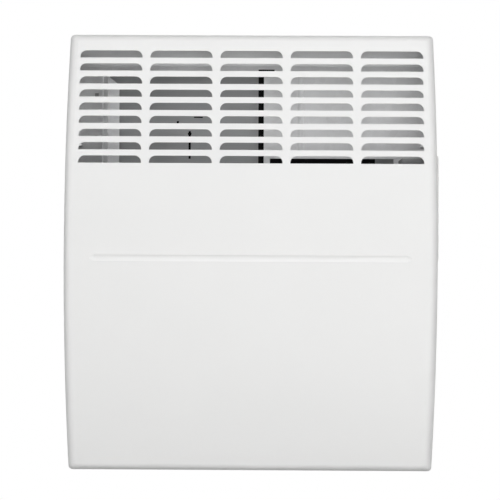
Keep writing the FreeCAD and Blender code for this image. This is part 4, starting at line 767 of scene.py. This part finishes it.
wall_paint, tree, clear, behind = stage_paint("wall_paint")
parts = place_node(tree, "ShaderNodeSeparateXYZ")
tree.links.new(place_node(tree, "ShaderNodeTexCoord").outputs["Object"], parts.inputs[0])
from_middle = sums(tree, "ABSOLUTE", parts.outputs["X"], 0.0)
from_centre_line = sums(tree, "ABSOLUTE", parts.outputs["Z"], 0.0)
past_side = sums(tree, "SUBTRACT", from_middle, SHADED_HALF_WIDTH)
past_end = sums(tree, "SUBTRACT", from_centre_line, SHADED_HALF_HEIGHT)
clear_of_shade = sums(tree, "MAXIMUM", past_side, past_end)
white = place_node(tree, "ShaderNodeEmission", {"Color": (1, 1, 1, 1)})
shaded = place_node(tree, "ShaderNodeBsdfDiffuse", {"Color": (0.012, 0.012, 0.012, 1)})
open_wall = scaled(tree, clear_of_shade, 0.0, SHADE_EDGE, 0.0, 1.0)
hidden = sums(tree, "MAXIMUM", behind, sums(tree, "SUBTRACT", 1.0, seen_directly(tree)))
face = mixed(tree, hidden, mixed(tree, open_wall, shaded.outputs[0], white.outputs[0]), clear)
tree.links.new(face, tree.nodes["Material Output"].inputs["Surface"])
wall_y = cad_high.y + WALL_GAP
wall_corners = [
    (-ROOM_REACH, wall_y, FLOOR_Z), (ROOM_REACH, wall_y, FLOOR_Z),
    (ROOM_REACH, wall_y, WALL_TOP), (-ROOM_REACH, wall_y, WALL_TOP),
]
flat_sheet("studio_wall", wall_corners, wall_paint)

floor_paint, tree, clear, behind = stage_paint("floor_paint")
matt = place_node(tree, "ShaderNodeBsdfDiffuse", {"Color": (0.22, 0.22, 0.218, 1)})
pale_inputs = {"Color": (1, 1, 1, 1), "Strength": FLOOR_BRIGHTNESS}
pale = place_node(tree, "ShaderNodeEmission", pale_inputs)
lifted = sums(tree, "MULTIPLY", seen_directly(tree), FLOOR_LIFT)
face = mixed(tree, behind, mixed(tree, lifted, matt.outputs[0], pale.outputs[0]), clear)
tree.links.new(face, tree.nodes["Material Output"].inputs["Surface"])
floor_corners = [
    (-ROOM_REACH, -ROOM_REACH, FLOOR_Z), (ROOM_REACH, -ROOM_REACH, FLOOR_Z),
    (ROOM_REACH, ROOM_REACH, FLOOR_Z), (-ROOM_REACH, ROOM_REACH, FLOOR_Z),
]
flat_sheet("studio_floor", floor_corners, floor_paint)

# Light: a large softbox above and in front, a broad weak one in front and a narrow one low down,
# one at each side and one behind the wall's plane. The room's own light is even and white.
HEATER_MIDDLE = (0, -0.06, 0)
ROOM_FILL = 0.04


def softbox(name, where, wide, high, power):
    """A rectangular soft light that faces the heater."""
    lamp = bpy.data.lights.new(name, "AREA")
    lamp.shape = "RECTANGLE"
    lamp.size = wide
    lamp.size_y = high
    lamp.energy = power
    thing = bpy.data.objects.new(name, lamp)
    thing.location = where
    aim = Vector(HEATER_MIDDLE) - Vector(where)
    thing.rotation_euler = aim.to_track_quat("-Z", "Y").to_euler()
    bpy.context.scene.collection.objects.link(thing)


softbox("key_softbox", (0.4, -2.1, 1.45), wide=2.0, high=1.2, power=31)
softbox("front_softbox", (0.3, -2.6, 0.2), wide=2.4, high=1.4, power=7)
softbox("low_softbox", (0.4, -1.6, -0.45), wide=1.2, high=0.24, power=6.4)
softbox("left_softbox", (-2.1, -1.7, 0.15), wide=1.0, high=1.6, power=20.5)
softbox("right_softbox", (2.1, -1.7, 0.15), wide=1.0, high=1.6, power=8.5)
softbox("back_softbox", (0.6, 2.4, 1.0), wide=2.0, high=1.6, power=34)

room = bpy.data.worlds.new("room")
bpy.context.scene.world = room
room.use_nodes = True
tree = room.node_tree
air = tree.nodes["Background"]
brightness = scaled(tree, seen_directly(tree), 0.0, 1.0, ROOM_FILL, 1.0)
tree.links.new(brightness, air.inputs["Strength"])
air.inputs["Color"].default_value = (1, 1, 1, 1)

# Camera: straight in front of the heater at the photograph's distance, with its slight tilt.
# The focal length is in pixels of a picture 500 wide.
CAMERA_PLACE = (0.0122, -1.698, -0.0105)
CAMERA_YAW, CAMERA_PITCH, CAMERA_ROLL = 0.00797, 0.00805, -0.0050
FOCAL_PIXELS, PICTURE_WIDTH = 1609.3, 500
lens = bpy.data.cameras.new("camera")
lens.sensor_width = 36.0
lens.lens = FOCAL_PIXELS / PICTURE_WIDTH * lens.sensor_width
lens.clip_start = 0.05
camera = bpy.data.objects.new("camera", lens)
aim = Matrix.Rotation(CAMERA_YAW, 4, "Z") @ Matrix.Rotation(CAMERA_PITCH, 4, "X")
level = Matrix.Rotation(CAMERA_ROLL, 4, "Y") @ Matrix.Rotation(math.pi / 2, 4, "X")
camera.matrix_world = Matrix.Translation(CAMERA_PLACE) @ aim @ level
bpy.context.scene.collection.objects.link(camera)
bpy.context.scene.camera = camera
bpy.context.scene.view_settings.view_transform = "Standard"
